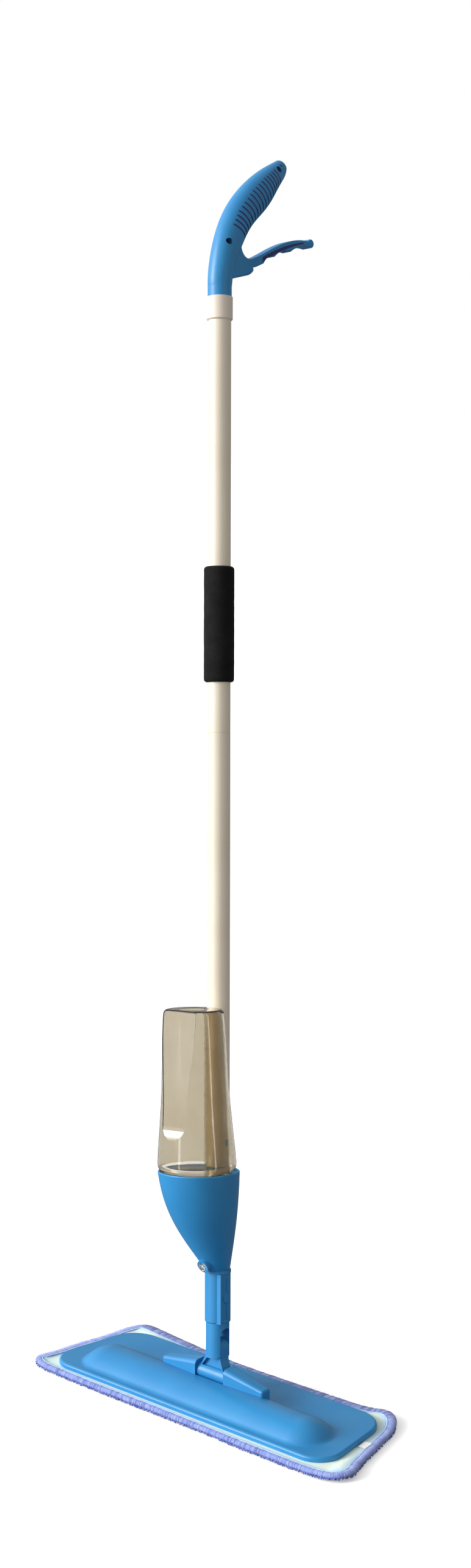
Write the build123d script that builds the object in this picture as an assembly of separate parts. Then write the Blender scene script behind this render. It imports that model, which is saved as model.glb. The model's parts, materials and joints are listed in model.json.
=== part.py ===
from build123d import *
import os
from math import atan, cos, degrees, hypot, radians, sin, sqrt

# Trigger spray mop, parked upright on its pad. Millimetres, +Z up, front is -Y.
# The origin lies on the floor under the middle of the pad.

# Stance: how far the parked pole leans back and to the side, in degrees
LEAN_BACK = 7.0
LEAN_SIDE = 6.0

# Clearances
PIN_PLAY = 0.05
PLUG_PLAY = 0.10
SEAT_GAP = 0.15
SWING_GAP = 0.35
LIFT_GAP = 0.60

# Cutters run this far past what they cut
OVERCUT = 1.0

# Mop pad
PAD_PAST_FRONT_ENDS = 21.0
PAD_PAST_BACK_ENDS = 10.0
PAD_PAST_FRONT = 8.0
PAD_PAST_BACK = 21.0
PAD_SWEEP_LENGTH = 34.0
PAD_SWEEP_DEPTH = 11.0
PAD_SWEEP_ROUND = 30.0
PAD_FRONT_CORNER = 8.0
PAD_BACK_CORNER = 20.0
PAD_FRONT_WAIST = 2.5
PAD_BACK_WAIST = 7.0
PAD_END_WAIST = 7.0
PILE_THICK = 4.4
BACKING_THICK = 1.6
BINDING_WIDTH = 6.5
BINDING_ROUND = 1.6
TAG_LENGTH = 6.0
TAG_WIDTH = 13.0
TAG_THICK = 0.3
TAG_Y = 7.0

# Head plate
PLATE_LENGTH = 356.0
PLATE_BACK_LENGTH = 324.0
PLATE_DEPTH = 110.0
PLATE_SHIFT = 3.0
PLATE_CORNER = 25.0
PLATE_BACK_CORNER = 33.0
PLATE_EDGE = 4.8
PLATE_EDGE_ROUND = 2.4
PLATE_WALL = 2.6
PLATE_RIM = 3.0
RIDGE_END_GAP = 28.0
RIDGE_WIDTH = 56.0
RIDGE_RISE = 14.2
RIDGE_Y = -16.0
RIDGE_BLEND = 6.5
RIB_THICK = 2.0
RIB_PITCH = 36.0
SOLE_THICK = 1.2
HOOK_THICK = 0.9
HOOK_WIDTH = 22.0
HOOK_INSET = 14.0

# Fore-and-aft hinge
HINGE_RISE = 16.9
AXLE_RADIUS = 3.0
BARREL_RADIUS = 7.5
BARREL_LENGTH = 35.0
BARREL_GAP = 1.2
BRACKET_LENGTH = 46.0
BRACKET_TOP = 11.0
BRACKET_DEPTH = 19.0
BRACKET_END_DEPTH = 12.0
BRACKET_END_TOP = 1.5
BRACKET_ROUND = 4.5
BRACKET_END_ROUND = 2.5
AXLE_SEAT = 13.0
SCREW_RADIUS = 1.5
SCREW_HEAD_RADIUS = 2.9
SCREW_HEAD = 1.6
BRACKET_SCREW_GRIP = 7.0
BRACKET_SCREW_X = (39.0, 54.0)

# Yoke
TILT_RISE = 25.0
TILT_RADIUS = 3.0
BLADE_DEPTH = 12.0
BLADE_HALF = 9.5
BLADE_TOP = 10.0
WEB_THICK = 5.0
WEB_FLANGE = 3.0
WEB_FOOT_HALF = 17.0
WEB_SHOULDER = 16.0

# Neck
CHEEK_DROP = 8.0
CHEEK_ROUND = 6.0
SLOT_RISE = 20.0
SHOULDER_RISE = 25.0
NECK_LENGTH = 50.0
NECK_RADIUS = 12.3
CLEVIS_RADIUS = 11.2
NECK_BAND = 3.0
NECK_BAND_RADIUS = 12.7
TILT_PIN_LENGTH = 18.0
SOCKET_DEPTH = 45.0
FLAT_X = 11.35
FLAT_WIDTH = 15.0
FLAT_HEIGHT = 43.0
FLAT_RIB_WIDTH = 1.4
FLAT_RIB_LENGTH = 11.5
FLAT_EDGE_WIDTH = 2.2

# Snap button in the neck
BUTTON_RADIUS = 5.3
BUTTON_LENGTH = 5.6
BUTTON_PROUD = 0.5
BUTTON_DOME = 0.8
BUTTON_BELOW_TOP = 26.0
LEAF_THICK = 0.5
LEAF_WIDTH = 6.0
LEAF_DROP = 13.0
LEAF_TURN = 2.0

# Bottle holder. Its curve gives shares of the height and of the swell, foot to rim
HOLDER_HEIGHT = 97.0
HOLDER_CURVE = ((0.0, 0.0), (0.08, 0.115), (0.22, 0.32), (0.53, 0.71), (0.77, 0.90), (1.0, 1.0))
HOLDER_WALL = 2.2
HOLDER_BACK_STEP = 0.4
HOLDER_FOOT_RADIUS = 12.0
HOLDER_RIM_ROUND = 1.0
HOLDER_FLOOR = 4.0
STEM_LENGTH = 44.0
STEM_RADIUS = 9.9
STEM_WALL = 1.7
DECK_THICK = 4.0
DECK_DROP = 2.0
CUP_GAP = 0.7
CUP_WALL = 2.0
CUP_DEPTH = 22.0
SPIKE_RADIUS = 2.2
SPIKE_BORE = 1.2
SPIKE_LENGTH = 10.0

# Pole tubes
POLE_RADIUS = 11.0
TUBE_WALL = 1.0
TUBE_CHAMFER = 0.35
LOWER_TUBE_LENGTH = 412.0
UPPER_TUBE_LENGTH = 408.0
TUBE_FOOT = 1.0
JOINER_LENGTH = 80.0
JOINER_WALL = 1.2
SPIGOT_LENGTH = 42.0
TAB_WIDTH = 4.7
TAB_HEIGHT = 6.6
TAB_RISE = 23.0
GUIDE_THICK = 8.0
GUIDE_HEIGHTS = (172.0, 330.0, 520.0, 700.0)
FOAM_LENGTH = 110.0
FOAM_THICK = 3.6
FOAM_ROUND = 2.8
FOAM_RISE = 48.0
COLLAR_LENGTH = 22.5
COLLAR_THICK = 1.45
COLLAR_SKIRT = 16.0
COLLAR_ROUND = 1.2

# Push rod and pump
ROD_RADIUS = 1.5
ROD_HEAD_RADIUS = 5.5
ROD_HEAD_LENGTH = 15.0
ROD_SOCKET = 10.0
PUMP_RADIUS = 7.5
PUMP_BORE = 5.5
PUMP_LENGTH = 56.0
PUMP_FLOOR = 4.0
PUMP_CAP = 4.0
PISTON_RADIUS = 5.3
PISTON_LENGTH = 6.0
PISTON_TOP_GAP = 8.0
SEAL_WIRE = 0.75
SEAL_SEAT = 0.05
STEM_ROD_RADIUS = 2.6
STEM_ROD_LENGTH = 32.0
SPRING_WIRE = 0.6
SPRING_RADIUS = 3.9
SPRING_TURNS = 7
NIPPLE_RADIUS = 2.2
NIPPLE_BORE = 1.3
NIPPLE_LENGTH = 7.0
INLET_RISE = 21.0
BALL_RADIUS = 1.2
HOSE_RADIUS = 3.3
HOSE_BEND = 12.0
HOSE_LAP = 3.5
NIPPLE_ROOT = 2.0

# Nozzle
NOZZLE_Y = -20.5
NOZZLE_RISE = 5.6
NOZZLE_PITCH = 26.0
NOZZLE_RADIUS = 4.6
NOZZLE_BOSS_RADIUS = 6.4
NOZZLE_BOSS_PROUD = 1.2
NOZZLE_PROUD = 2.4
NOZZLE_STEM = 9.0
NOZZLE_TIP_RADIUS = 3.6
NOZZLE_TIP_PROUD = 1.0
NOZZLE_TIP_SEAT = 2.0
NOZZLE_HOLE = 0.6

# Bottle. Its curve gives shares of the height and of the taper, foot to top
BOTTLE_HEIGHT = 154.0
BOTTLE_CURVE = ((0.0, 0.0), (0.12, 0.10), (0.35, 0.42), (0.65, 0.70), (1.0, 1.0))
BOTTLE_WALL = 1.4
BOTTLE_FOOT_STEP = 1.2
BOTTLE_FORWARD = 2.1
BOTTLE_TOP_RADIUS = 28.2
BOTTLE_TOP_SHIFT = -5.5
BOTTLE_FOOT_ROUND = 8.5
BOTTLE_TOP_ROUND = 4.5
BOTTLE_DISH = 3.0
FACET_TOP_CUT = 8.6
FACET_FOOT_CUT = 4.5
FACET_RISE = 26.0
FACET_SWEEP = 20.0
GROOVE_GAP = 0.7
MOUTH_RADIUS = 16.0
MOUTH_LENGTH = 15.0
MOUTH_WALL = 2.0
CAP_WALL = 1.9
CAP_GAP = 0.5
CAP_ROUND = 1.0
CAP_LENGTH = 18.0
CAP_FLOOR = 3.0
CAP_HOLE = 4.0
CAP_SEAL = 1.2
CAP_SEAL_BORE = 9.0
VALVE_RADIUS = 6.5
VALVE_THICK = 1.6
VALVE_STEM = 2.0

# Handle. Each grip section: y, height over the tube's top, slope in degrees, and its half depth and
# half width as shares of the stub's radius
STUB_STEP = 0.5
STUB_LENGTH = 16.0
STUB_RADIUS = POLE_RADIUS + STUB_STEP
GRIP_SECTIONS = (
    (0.0, STUB_LENGTH, 0.0, 1.0, 1.0),
    (1.3, 30.0, 9.0, 1.06, 1.035),
    (5.4, 46.0, 18.0, 1.155, 1.09),
    (12.7, 64.0, 26.0, 1.305, 1.15),
    (24.0, 84.0, 36.0, 1.38, 1.215),
    (41.8, 104.0, 44.0, 1.47, 1.215),
    (60.8, 122.0, 46.0, 1.34, 1.115),
    (76.8, 137.0, 45.5, 1.0, 0.885),
    (90.2, 150.8, 44.0, 0.52, 0.555),
)
GRIP_TIP_ROUND = 3.6
GRIP_WALL = 2.6
HORN_HALF = 10.0
HORN_ROUND = 2.6
HORN_CORNER = 2.8
PLUG_LENGTH = 28.0
PLUG_WALL = 1.7
ROD_CHAMBER_TOP = 50.5
HANDLE_SCREWS = ((2.0, 58.6, 4.0), (77.3, 142.2, 3.4))
HANDLE_SCREW_RADIUS = 3.0
HANDLE_SCREW_GRIP = 9.0
SCREW_BOSS_RADIUS = 4.8
TIP_DIMPLE = (82.0, 147.0)
TIP_DIMPLE_RADIUS = 0.9
TIP_DIMPLE_FLOOR = 5.2
GROOVES = 17
GROOVE_WIDTH = 1.7
GROOVE_DEPTH = 0.9
GROOVE_FROM = 3.35
GROOVE_TO = 6.85
GROOVE_SHARE = 0.18

# Trigger pivot, in the handle's own y and height
PIVOT_Y = 25.0
PIVOT_RISE = 41.0
TRIGGER_SWEEP = 22.0
TRIGGER_HALF = 6.5
TRIGGER_HUB = 6.2
TRIGGER_ROUND = 1.6
TRIGGER_POCKET = 2.4
TRIGGER_PIN_RADIUS = 2.0
TRIGGER_PIN_SEAT = 2.2
ARM_HALF = 4.0
ARM_TIP = 3.0
ARM_THICK = 3.2
SCALLOP_RISE = 3.0

# Outlines round the trigger, as y and height from its pivot
TRIGGER_TOP = ((8.0, 5.4), (27.2, 13.6), (52.7, 27.0), (78.0, 37.0), (101.0, 40.4))
TRIGGER_TIP = ((109.2, 38.2), (105.0, 34.4))
TRIGGER_CUSPS = ((74.0, 25.2), (49.8, 16.2), (32.8, 6.6))
TRIGGER_CHIN = (21.9, 1.4)
POCKET_TOP = ((30.5, 12.4), (47.4, 21.4), (65.9, 29.9), (92.0, 37.2))
POCKET_FOOT = ((92.0, 35.9), (75.2, 29.4), (59.4, 22.9), (47.4, 17.9), (33.0, 9.0))
HORN_BELLY = ((-25.0, -19.4), (6.0, -9.8))
HORN_NOSE = (14.6, -3.9)
HORN_LIP = (11.0, 7.5)
HORN_ARCH = (0.2, 9.4)
HORN_THROAT = (-3.4, 16.4)
HORN_ROOT = ((-17.0, 24.0), (-25.0, 10.0))
WELL_MOUTH = ((9.0, -3.6), (25.0, 0.4), (25.0, 28.5), (4.5, 10.5), (-2.0, 7.5))

# Sizes that follow from the ones above
PLATE_FRONT = PLATE_SHIFT - PLATE_DEPTH / 2
PLATE_BACK = PLATE_SHIFT + PLATE_DEPTH / 2
PLATE_SLANT = (PLATE_LENGTH - PLATE_BACK_LENGTH) / 2 / PLATE_DEPTH
PAD_FRONT = PLATE_FRONT - PAD_PAST_FRONT
PAD_BACK = PLATE_BACK + PAD_PAST_BACK
PAD_FRONT_HALF = PLATE_LENGTH / 2 + PAD_PAST_FRONT_ENDS
PAD_BACK_HALF = PLATE_BACK_LENGTH / 2 + PAD_PAST_BACK_ENDS
RIDGE_LENGTH = PLATE_LENGTH - 2 * RIDGE_END_GAP
TUBE_BORE = POLE_RADIUS - TUBE_WALL
PLUG_RADIUS = TUBE_BORE - PLUG_PLAY
ROD_CHAMBER = PLUG_RADIUS - PLUG_WALL
FOAM_RADIUS = POLE_RADIUS + FOAM_THICK
COLLAR_RADIUS = POLE_RADIUS + COLLAR_THICK
HOLDER_BACK = POLE_RADIUS + HOLDER_BACK_STEP
CAP_RADIUS = MOUTH_RADIUS + PLUG_PLAY + CAP_WALL
CUP_RADIUS = CAP_RADIUS + CUP_GAP
BOTTLE_FOOT_Y = -(POLE_RADIUS + CAP_GAP + CAP_RADIUS)
HOLDER_RIM_RADIUS = HOLDER_BACK - BOTTLE_FOOT_Y - BOTTLE_FORWARD
BOTTLE_FOOT_RADIUS = HOLDER_RIM_RADIUS - BOTTLE_FOOT_STEP
BOTTLE_TOP_Y = BOTTLE_FOOT_Y + BOTTLE_TOP_SHIFT
FACET_FOOT_Y = BOTTLE_FOOT_Y - BOTTLE_FOOT_RADIUS + FACET_FOOT_CUT
FACET_TOP_Y = BOTTLE_TOP_Y - BOTTLE_TOP_RADIUS + FACET_TOP_CUT

# Heights along the pole, over the fore-and-aft hinge
PAD_TOP = PILE_THICK + BACKING_THICK
PLATE_FOOT = PAD_TOP + SEAT_GAP
PLATE_TOP = PLATE_FOOT + PLATE_EDGE
HINGE_Z = PLATE_TOP + HINGE_RISE
SHOULDER_Z = TILT_RISE + SHOULDER_RISE
NECK_TOP = SHOULDER_Z + NECK_LENGTH
RIM_Z = NECK_TOP + HOLDER_HEIGHT
DECK_Z = RIM_Z - DECK_DROP
CUP_FLOOR_Z = DECK_Z - CUP_DEPTH
BOTTLE_Z = DECK_Z + LIFT_GAP
MOUTH_Z = BOTTLE_Z - MOUTH_LENGTH
CAP_Z = MOUTH_Z - CAP_SEAL - CAP_FLOOR
TUBE_FOOT_Z = RIM_Z + TUBE_FOOT
SEAM_Z = TUBE_FOOT_Z + LOWER_TUBE_LENGTH
TUBE_TOP = SEAM_Z + UPPER_TUBE_LENGTH
PUMP_Z = NECK_TOP + HOLDER_FLOOR
PUMP_TOP = PUMP_Z + PUMP_LENGTH
PISTON_TOP = PUMP_TOP - PISTON_TOP_GAP
STEM_ROD_TOP = PISTON_TOP + STEM_ROD_LENGTH
BUTTON_Z = NECK_TOP - BUTTON_BELOW_TOP

# The trigger's arm swings evenly above and below level, and its tip rides on the push rod
ARM_LENGTH = PIVOT_Y / cos(radians(TRIGGER_SWEEP / 2))
ARM_RISE = ARM_LENGTH * sin(radians(TRIGGER_SWEEP / 2))
ROD_TOP = TUBE_TOP + PIVOT_RISE + ARM_RISE - ARM_TIP - SEAT_GAP

# Frames of the yoke and of the pole, in the mop's own frame
YOKE_FRAME = Pos(0, 0, HINGE_Z) * Rot(-LEAN_BACK, 0, 0)
POLE_FRAME = YOKE_FRAME * Pos(0, 0, TILT_RISE) * Rot(0, -LEAN_SIDE, 0) * Pos(0, 0, -TILT_RISE)
HANDLE_FRAME = POLE_FRAME * Pos(0, 0, TUBE_TOP)


def rod_between(radius, low, high, y=0.0):
    """Upright round bar from one height to another."""
    return Pos(0, y, (low + high) / 2) * Cylinder(radius, high - low)


def tube_between(outer, inner, low, high, y=0.0):
    """Upright round tube from one height to another."""
    return rod_between(outer, low, high, y) - rod_between(inner, low - OVERCUT, high + OVERCUT, y)


def bar_x(radius, low, high, y=0.0, z=0.0):
    """Round bar along X."""
    return Pos((low + high) / 2, y, z) * Rot(0, 90, 0) * Cylinder(radius, high - low)


def bar_y(radius, low, high, x=0.0, z=0.0):
    """Round bar along Y."""
    return Pos(x, (low + high) / 2, z) * Rot(90, 0, 0) * Cylinder(radius, high - low)


def box_between(low, high):
    """Box from its lowest to its highest corner."""
    size = [b - a for a, b in zip(low, high)]
    middle = [(a + b) / 2 for a, b in zip(low, high)]
    return Pos(*middle) * Box(*size)


def ring_at(y, z, radius):
    """Level circle whose seam faces the back."""
    return Plane((0, y, z), x_dir=(0, 1, 0)) * Circle(radius)


def side_profile(wire_edges, half):
    """Solid of a closed outline in the YZ plane, spread evenly to both sides of it."""
    return extrude(Plane.YZ * make_face(wire_edges), half, both=True)


# Mop pad

def pad_outline(inset):
    """Pad outline, wider in front, with swept front corners and sides drawn in between the corners."""
    front = PAD_FRONT + inset
    tip = PAD_FRONT + PAD_SWEEP_DEPTH + inset / 2
    back = PAD_BACK - inset
    bend = PAD_FRONT_HALF - PAD_SWEEP_LENGTH - inset / 2
    wide = PAD_FRONT_HALF - inset
    narrow = PAD_BACK_HALF - inset
    waist = (wide + narrow) / 2 - PAD_END_WAIST
    middle = (tip + back) / 2
    sides = (
        ThreePointArc((-bend, front), (0, front + PAD_FRONT_WAIST), (bend, front)),
        Line((bend, front), (wide, tip)),
        ThreePointArc((wide, tip), (waist, middle), (narrow, back)),
        ThreePointArc((narrow, back), (0, back - PAD_BACK_WAIST), (-narrow, back)),
        ThreePointArc((-narrow, back), (-waist, middle), (-wide, tip)),
        Line((-wide, tip), (-bend, front)),
    )
    face = make_face(sides)
    for place, radius in (
        ((bend, front), PAD_SWEEP_ROUND),
        ((wide, tip), PAD_FRONT_CORNER - inset),
        ((narrow, back), PAD_BACK_CORNER - inset),
    ):
        spots = face.vertices().filter_by(lambda v: hypot(abs(v.X) - place[0], v.Y - place[1]) < OVERCUT)
        face = fillet(spots, radius)
    return face


def make_pad_pile():
    body = extrude(pad_outline(0), PAD_TOP)
    body = fillet(body.faces().sort_by(Axis.Z)[-1].edges(), BINDING_ROUND)
    tray = Pos(0, 0, PILE_THICK) * extrude(pad_outline(BINDING_WIDTH), BACKING_THICK)
    return body - tray


def make_pad_backing():
    outline = pad_outline(BINDING_WIDTH + SEAT_GAP)
    return Pos(0, 0, PILE_THICK) * extrude(outline, BACKING_THICK)


def make_care_tag():
    plate_edge = PLATE_LENGTH / 2 - PLATE_SLANT * (TAG_Y - PLATE_FRONT)
    turn = degrees(atan(PLATE_SLANT))
    tag = Pos((TAG_LENGTH / 2 + SWING_GAP, 0, TAG_THICK / 2)) * Box(TAG_LENGTH, TAG_WIDTH, TAG_THICK)
    return Pos(plate_edge, TAG_Y, PAD_TOP) * Rot(0, 0, turn) * tag


# Head plate

def plate_outline(inset):
    """Plate outline, wider in front, with rounded corners."""
    side = inset * hypot(1, PLATE_SLANT)
    front = PLATE_LENGTH / 2 - PLATE_SLANT * inset - side
    back = PLATE_BACK_LENGTH / 2 + PLATE_SLANT * inset - side
    low = PLATE_FRONT + inset
    high = PLATE_BACK - inset
    face = make_face(Polyline((-front, low), (front, low), (back, high), (-back, high), close=True))
    corners = face.vertices().sort_by(Axis.Y)
    face = fillet(corners[:2], PLATE_CORNER - inset)
    corners = face.vertices().sort_by(Axis.Y)
    return fillet(corners[-2:], PLATE_BACK_CORNER - inset)


def slab(inset, low, high):
    """Flat plate of the head's outline."""
    return Pos(0, 0, low) * extrude(plate_outline(inset), high - low)


def ridge_form(inset):
    """Half-round ridge with domed ends, down to the plate's foot."""
    half = RIDGE_WIDTH / 2
    radius = (half * half + RIDGE_RISE * RIDGE_RISE) / (2 * RIDGE_RISE)
    axis_z = PLATE_TOP + RIDGE_RISE - radius
    run = RIDGE_LENGTH / 2 - half
    form = bar_x(radius - inset, -run, run, RIDGE_Y, axis_z)
    for side in (-run, run):
        form += Pos(side, RIDGE_Y, axis_z) * Sphere(radius - inset)
    keep = box_between(
        (-PLATE_LENGTH, -PLATE_DEPTH, PLATE_FOOT), (PLATE_LENGTH, PLATE_DEPTH, HINGE_Z + BRACKET_TOP)
    )
    return form & keep


def bracket_form(side, gap):
    """Wedge-shaped bracket, tall beside the barrel and sloping down outwards."""
    near = BARREL_LENGTH / 2 + SWING_GAP - gap
    far = BARREL_LENGTH / 2 + SWING_GAP + BRACKET_LENGTH + gap
    sections = []
    for x, depth, top, corner in (
        (near, BRACKET_DEPTH, HINGE_Z + BRACKET_TOP, BRACKET_ROUND),
        (far, BRACKET_END_DEPTH, HINGE_Z + BRACKET_END_TOP, BRACKET_END_ROUND),
    ):
        height = top - PLATE_TOP + gap
        arch = Rectangle(depth + 2 * gap, height)
        arch = fillet(arch.vertices().group_by(Axis.Y)[-1], corner)
        plane = Plane(origin=(side * x, 0, PLATE_TOP), x_dir=(0, 1, 0), z_dir=(1, 0, 0))
        sections.append(plane * Pos(0, height / 2) * arch)
    return loft(sections, ruled=True)


def make_bracket(side):
    body = bracket_form(side, 0)
    near = BARREL_LENGTH / 2 + SWING_GAP
    end_faces = body.faces().sort_by(Axis.X)
    end_face = end_faces[-1] if side > 0 else end_faces[0]
    body = fillet(end_face.edges(), BRACKET_END_ROUND - SEAT_GAP)
    seat = sorted((side * (near - OVERCUT), side * (near + AXLE_SEAT)))
    body -= bar_x(AXLE_RADIUS + PIN_PLAY / 2, seat[0], seat[1], 0, HINGE_Z)
    for x in BRACKET_SCREW_X:
        hole = rod_between(SCREW_RADIUS, PLATE_TOP - OVERCUT, PLATE_TOP + BRACKET_SCREW_GRIP)
        body -= Pos(side * x, 0, 0) * hole
    return body


def make_head_plate():
    body = slab(0, PLATE_FOOT, PLATE_TOP)
    body = fillet(body.faces().sort_by(Axis.Z)[-1].edges(), PLATE_EDGE_ROUND)
    body += ridge_form(0)
    seam = [e for e in body.edges() if abs(e.center().Z - PLATE_TOP) < 0.01 and is_seam(e)]
    body = fillet(seam, RIDGE_BLEND)
    hollow = ridge_form(PLATE_WALL)
    block_half = BARREL_LENGTH / 2 + SWING_GAP + BRACKET_LENGTH + PLATE_WALL
    hollow -= box_between((-block_half, -BRACKET_DEPTH, 0), (block_half, PLATE_DEPTH, HINGE_Z))
    count = int(RIDGE_LENGTH / 2 / RIB_PITCH)
    for i in range(-count, count + 1):
        x = i * RIB_PITCH
        rib = box_between((x - RIB_THICK / 2, -PLATE_DEPTH, 0), (x + RIB_THICK / 2, PLATE_DEPTH, HINGE_Z))
        hollow -= rib
    body -= hollow
    body -= slab(PLATE_RIM, PLATE_FOOT - OVERCUT, PAD_TOP + HOOK_THICK + SOLE_THICK)
    reach = BARREL_LENGTH / 2 + SWING_GAP
    body -= bar_x(BARREL_RADIUS + BARREL_GAP, -reach, reach, 0, HINGE_Z)
    for side in (-1, 1):
        body -= bracket_form(side, SEAT_GAP)
        for x in BRACKET_SCREW_X:
            body -= Pos(side * x, 0, 0) * rod_between(SCREW_RADIUS + PLUG_PLAY, 0, HINGE_Z)
            sink = PAD_TOP + HOOK_THICK + SOLE_THICK + SCREW_HEAD
            body -= Pos(side * x, 0, 0) * rod_between(SCREW_HEAD_RADIUS + PLUG_PLAY, 0, sink)
    return body


def is_seam(edge):
    """True for an edge on the foot of the ridge."""
    middle = edge.position_at(0.5)
    along = abs(middle.X) < RIDGE_LENGTH / 2 + OVERCUT
    return along and abs(middle.Y - RIDGE_Y) < RIDGE_WIDTH / 2 + OVERCUT


def make_bracket_screws():
    under = PAD_TOP + HOOK_THICK + SOLE_THICK
    screw = rod_between(SCREW_HEAD_RADIUS, under, under + SCREW_HEAD)
    screw += rod_between(SCREW_RADIUS, under + SCREW_HEAD, PLATE_TOP + BRACKET_SCREW_GRIP)
    places = [side * x for side in (-1, 1) for x in BRACKET_SCREW_X]
    return Compound(children=[Pos(x, 0, 0) * screw for x in places])


def make_hinge_axle():
    reach = BARREL_LENGTH / 2 + SWING_GAP + AXLE_SEAT
    return bar_x(AXLE_RADIUS, -reach, reach, 0, HINGE_Z)


def make_sole_foam():
    low = PAD_TOP + HOOK_THICK
    return slab(PLATE_RIM + SEAT_GAP, low, low + SOLE_THICK)


def make_hook_strips():
    length = PLATE_BACK_LENGTH - 2 * PLATE_BACK_CORNER
    inset = HOOK_INSET + HOOK_WIDTH / 2
    strip = Box(length, HOOK_WIDTH, HOOK_THICK)
    places = (PLATE_FRONT + inset, PLATE_BACK - inset)
    strips = [Pos(0, y, PAD_TOP + HOOK_THICK / 2) * strip for y in places]
    return Compound(children=strips)


# Joint between head and pole

def make_yoke():
    top = TILT_RISE + BLADE_TOP
    side = [
        (-WEB_FOOT_HALF, 0), (WEB_FOOT_HALF, 0), (BLADE_HALF, WEB_SHOULDER), (BLADE_HALF, top),
        (-BLADE_HALF, top), (-BLADE_HALF, WEB_SHOULDER),
    ]
    outline = make_face(Polyline(side, close=True))
    crown = outline.vertices().group_by(Axis.Y)[-1]
    outline = fillet(crown, BLADE_HALF - PIN_PLAY)
    waist = outline.vertices().filter_by(lambda v: abs(v.Y - WEB_SHOULDER) < 0.01)
    outline = fillet(waist, BLADE_HALF)
    body = extrude(Plane.XZ * outline, BLADE_DEPTH / 2, both=True)
    inner = WEB_FOOT_HALF - WEB_FLANGE - OVERCUT
    neck = BLADE_HALF - WEB_FLANGE
    foot = BARREL_RADIUS - OVERCUT
    panel = Polyline(
        (-inner, foot), (inner, foot), (neck, WEB_SHOULDER), (-neck, WEB_SHOULDER), close=True
    )
    panel = extrude(Plane.XZ * make_face(panel), BLADE_DEPTH, both=True)
    panel -= Box(PLATE_LENGTH, WEB_THICK, PLATE_LENGTH)
    body -= panel
    half = BARREL_LENGTH / 2
    body += bar_x(BARREL_RADIUS, -half, half)
    body -= bar_x(AXLE_RADIUS + PIN_PLAY, -half - OVERCUT, half + OVERCUT)
    body -= bar_y(TILT_RADIUS + PIN_PLAY, -BLADE_DEPTH, BLADE_DEPTH, 0, TILT_RISE)
    return body


def make_tilt_pin():
    half = TILT_PIN_LENGTH / 2
    return bar_y(TILT_RADIUS, -half, half, 0, TILT_RISE)


def make_neck():
    foot = TILT_RISE - CHEEK_DROP
    clevis = rod_between(CLEVIS_RADIUS, foot, SHOULDER_Z)
    tongue = Rectangle(2 * CLEVIS_RADIUS, SHOULDER_Z - foot)
    tongue = fillet(tongue.vertices().group_by(Axis.Y)[0], CHEEK_ROUND)
    clevis &= extrude(Plane.XZ * Pos(0, (SHOULDER_Z + foot) / 2) * tongue, NECK_RADIUS, both=True)
    body = rod_between(NECK_RADIUS, SHOULDER_Z, NECK_TOP)
    body = chamfer(body.edges().sort_by(Axis.Z)[0], NECK_RADIUS - CLEVIS_RADIUS)
    body += clevis
    body += rod_between(NECK_BAND_RADIUS, NECK_TOP - NECK_BAND, NECK_TOP)
    slot_half = BLADE_DEPTH / 2 + SWING_GAP
    roof = TILT_RISE + SLOT_RISE - slot_half
    body -= box_between((-NECK_RADIUS, -slot_half, 0), (NECK_RADIUS, slot_half, roof))
    body -= bar_x(slot_half, -NECK_RADIUS, NECK_RADIUS, 0, roof)
    pin_half = TILT_PIN_LENGTH / 2 + PLUG_PLAY
    body -= bar_y(TILT_RADIUS + PIN_PLAY / 2, -pin_half, pin_half, 0, TILT_RISE)
    body -= rod_between(STEM_RADIUS + PLUG_PLAY, NECK_TOP - SOCKET_DEPTH, NECK_TOP + OVERCUT)
    flat_top = NECK_TOP - NECK_BAND
    flat = box_between(
        (FLAT_X, -FLAT_WIDTH / 2, flat_top - FLAT_HEIGHT), (2 * NECK_RADIUS, FLAT_WIDTH / 2, flat_top)
    )
    rib_x = FLAT_X + (NECK_RADIUS - FLAT_X) / 2
    clear = BUTTON_RADIUS + 2 * LIFT_GAP
    for low in (BUTTON_Z + clear, BUTTON_Z - clear - FLAT_RIB_LENGTH):
        flat -= box_between(
            (0, -FLAT_RIB_WIDTH / 2, low), (rib_x, FLAT_RIB_WIDTH / 2, low + FLAT_RIB_LENGTH)
        )
    body -= flat
    edge_y = -FLAT_WIDTH / 2
    rail = box_between(
        (0, edge_y - FLAT_EDGE_WIDTH, SHOULDER_Z), (NECK_RADIUS, edge_y, flat_top)
    )
    rail -= rod_between(NECK_RADIUS - OVERCUT, 0, NECK_TOP)
    body += rail
    body -= bar_x(BUTTON_RADIUS + PLUG_PLAY, 0, 2 * NECK_RADIUS, 0, BUTTON_Z)
    return body


def make_snap_button():
    high = FLAT_X + BUTTON_PROUD
    body = bar_x(BUTTON_RADIUS, high - BUTTON_LENGTH, high, 0, BUTTON_Z)
    crown = body.faces().sort_by(Axis.X)[-1].edges()
    return fillet(crown, BUTTON_DOME)


def make_button_spring():
    """Leaf bent double inside the holder's stem, behind the button."""
    near = FLAT_X + BUTTON_PROUD - BUTTON_LENGTH - LEAF_THICK / 2 - PLUG_PLAY
    bore = STEM_RADIUS - STEM_WALL
    far = LEAF_THICK / 2 + PLUG_PLAY - sqrt(bore * bore - LEAF_WIDTH * LEAF_WIDTH / 4)
    low = BUTTON_Z - LEAF_DROP
    path = FilletPolyline(
        (near, 0, BUTTON_Z + LEAF_WIDTH / 2), (near, 0, low), (far, 0, low),
        (far, 0, BUTTON_Z + LEAF_WIDTH / 2), radius=LEAF_TURN,
    )
    start = Plane(origin=path @ 0, x_dir=(0, 1, 0), z_dir=path % 0)
    return sweep(start * Rectangle(LEAF_WIDTH, LEAF_THICK), path)


# Bottle holder

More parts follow.
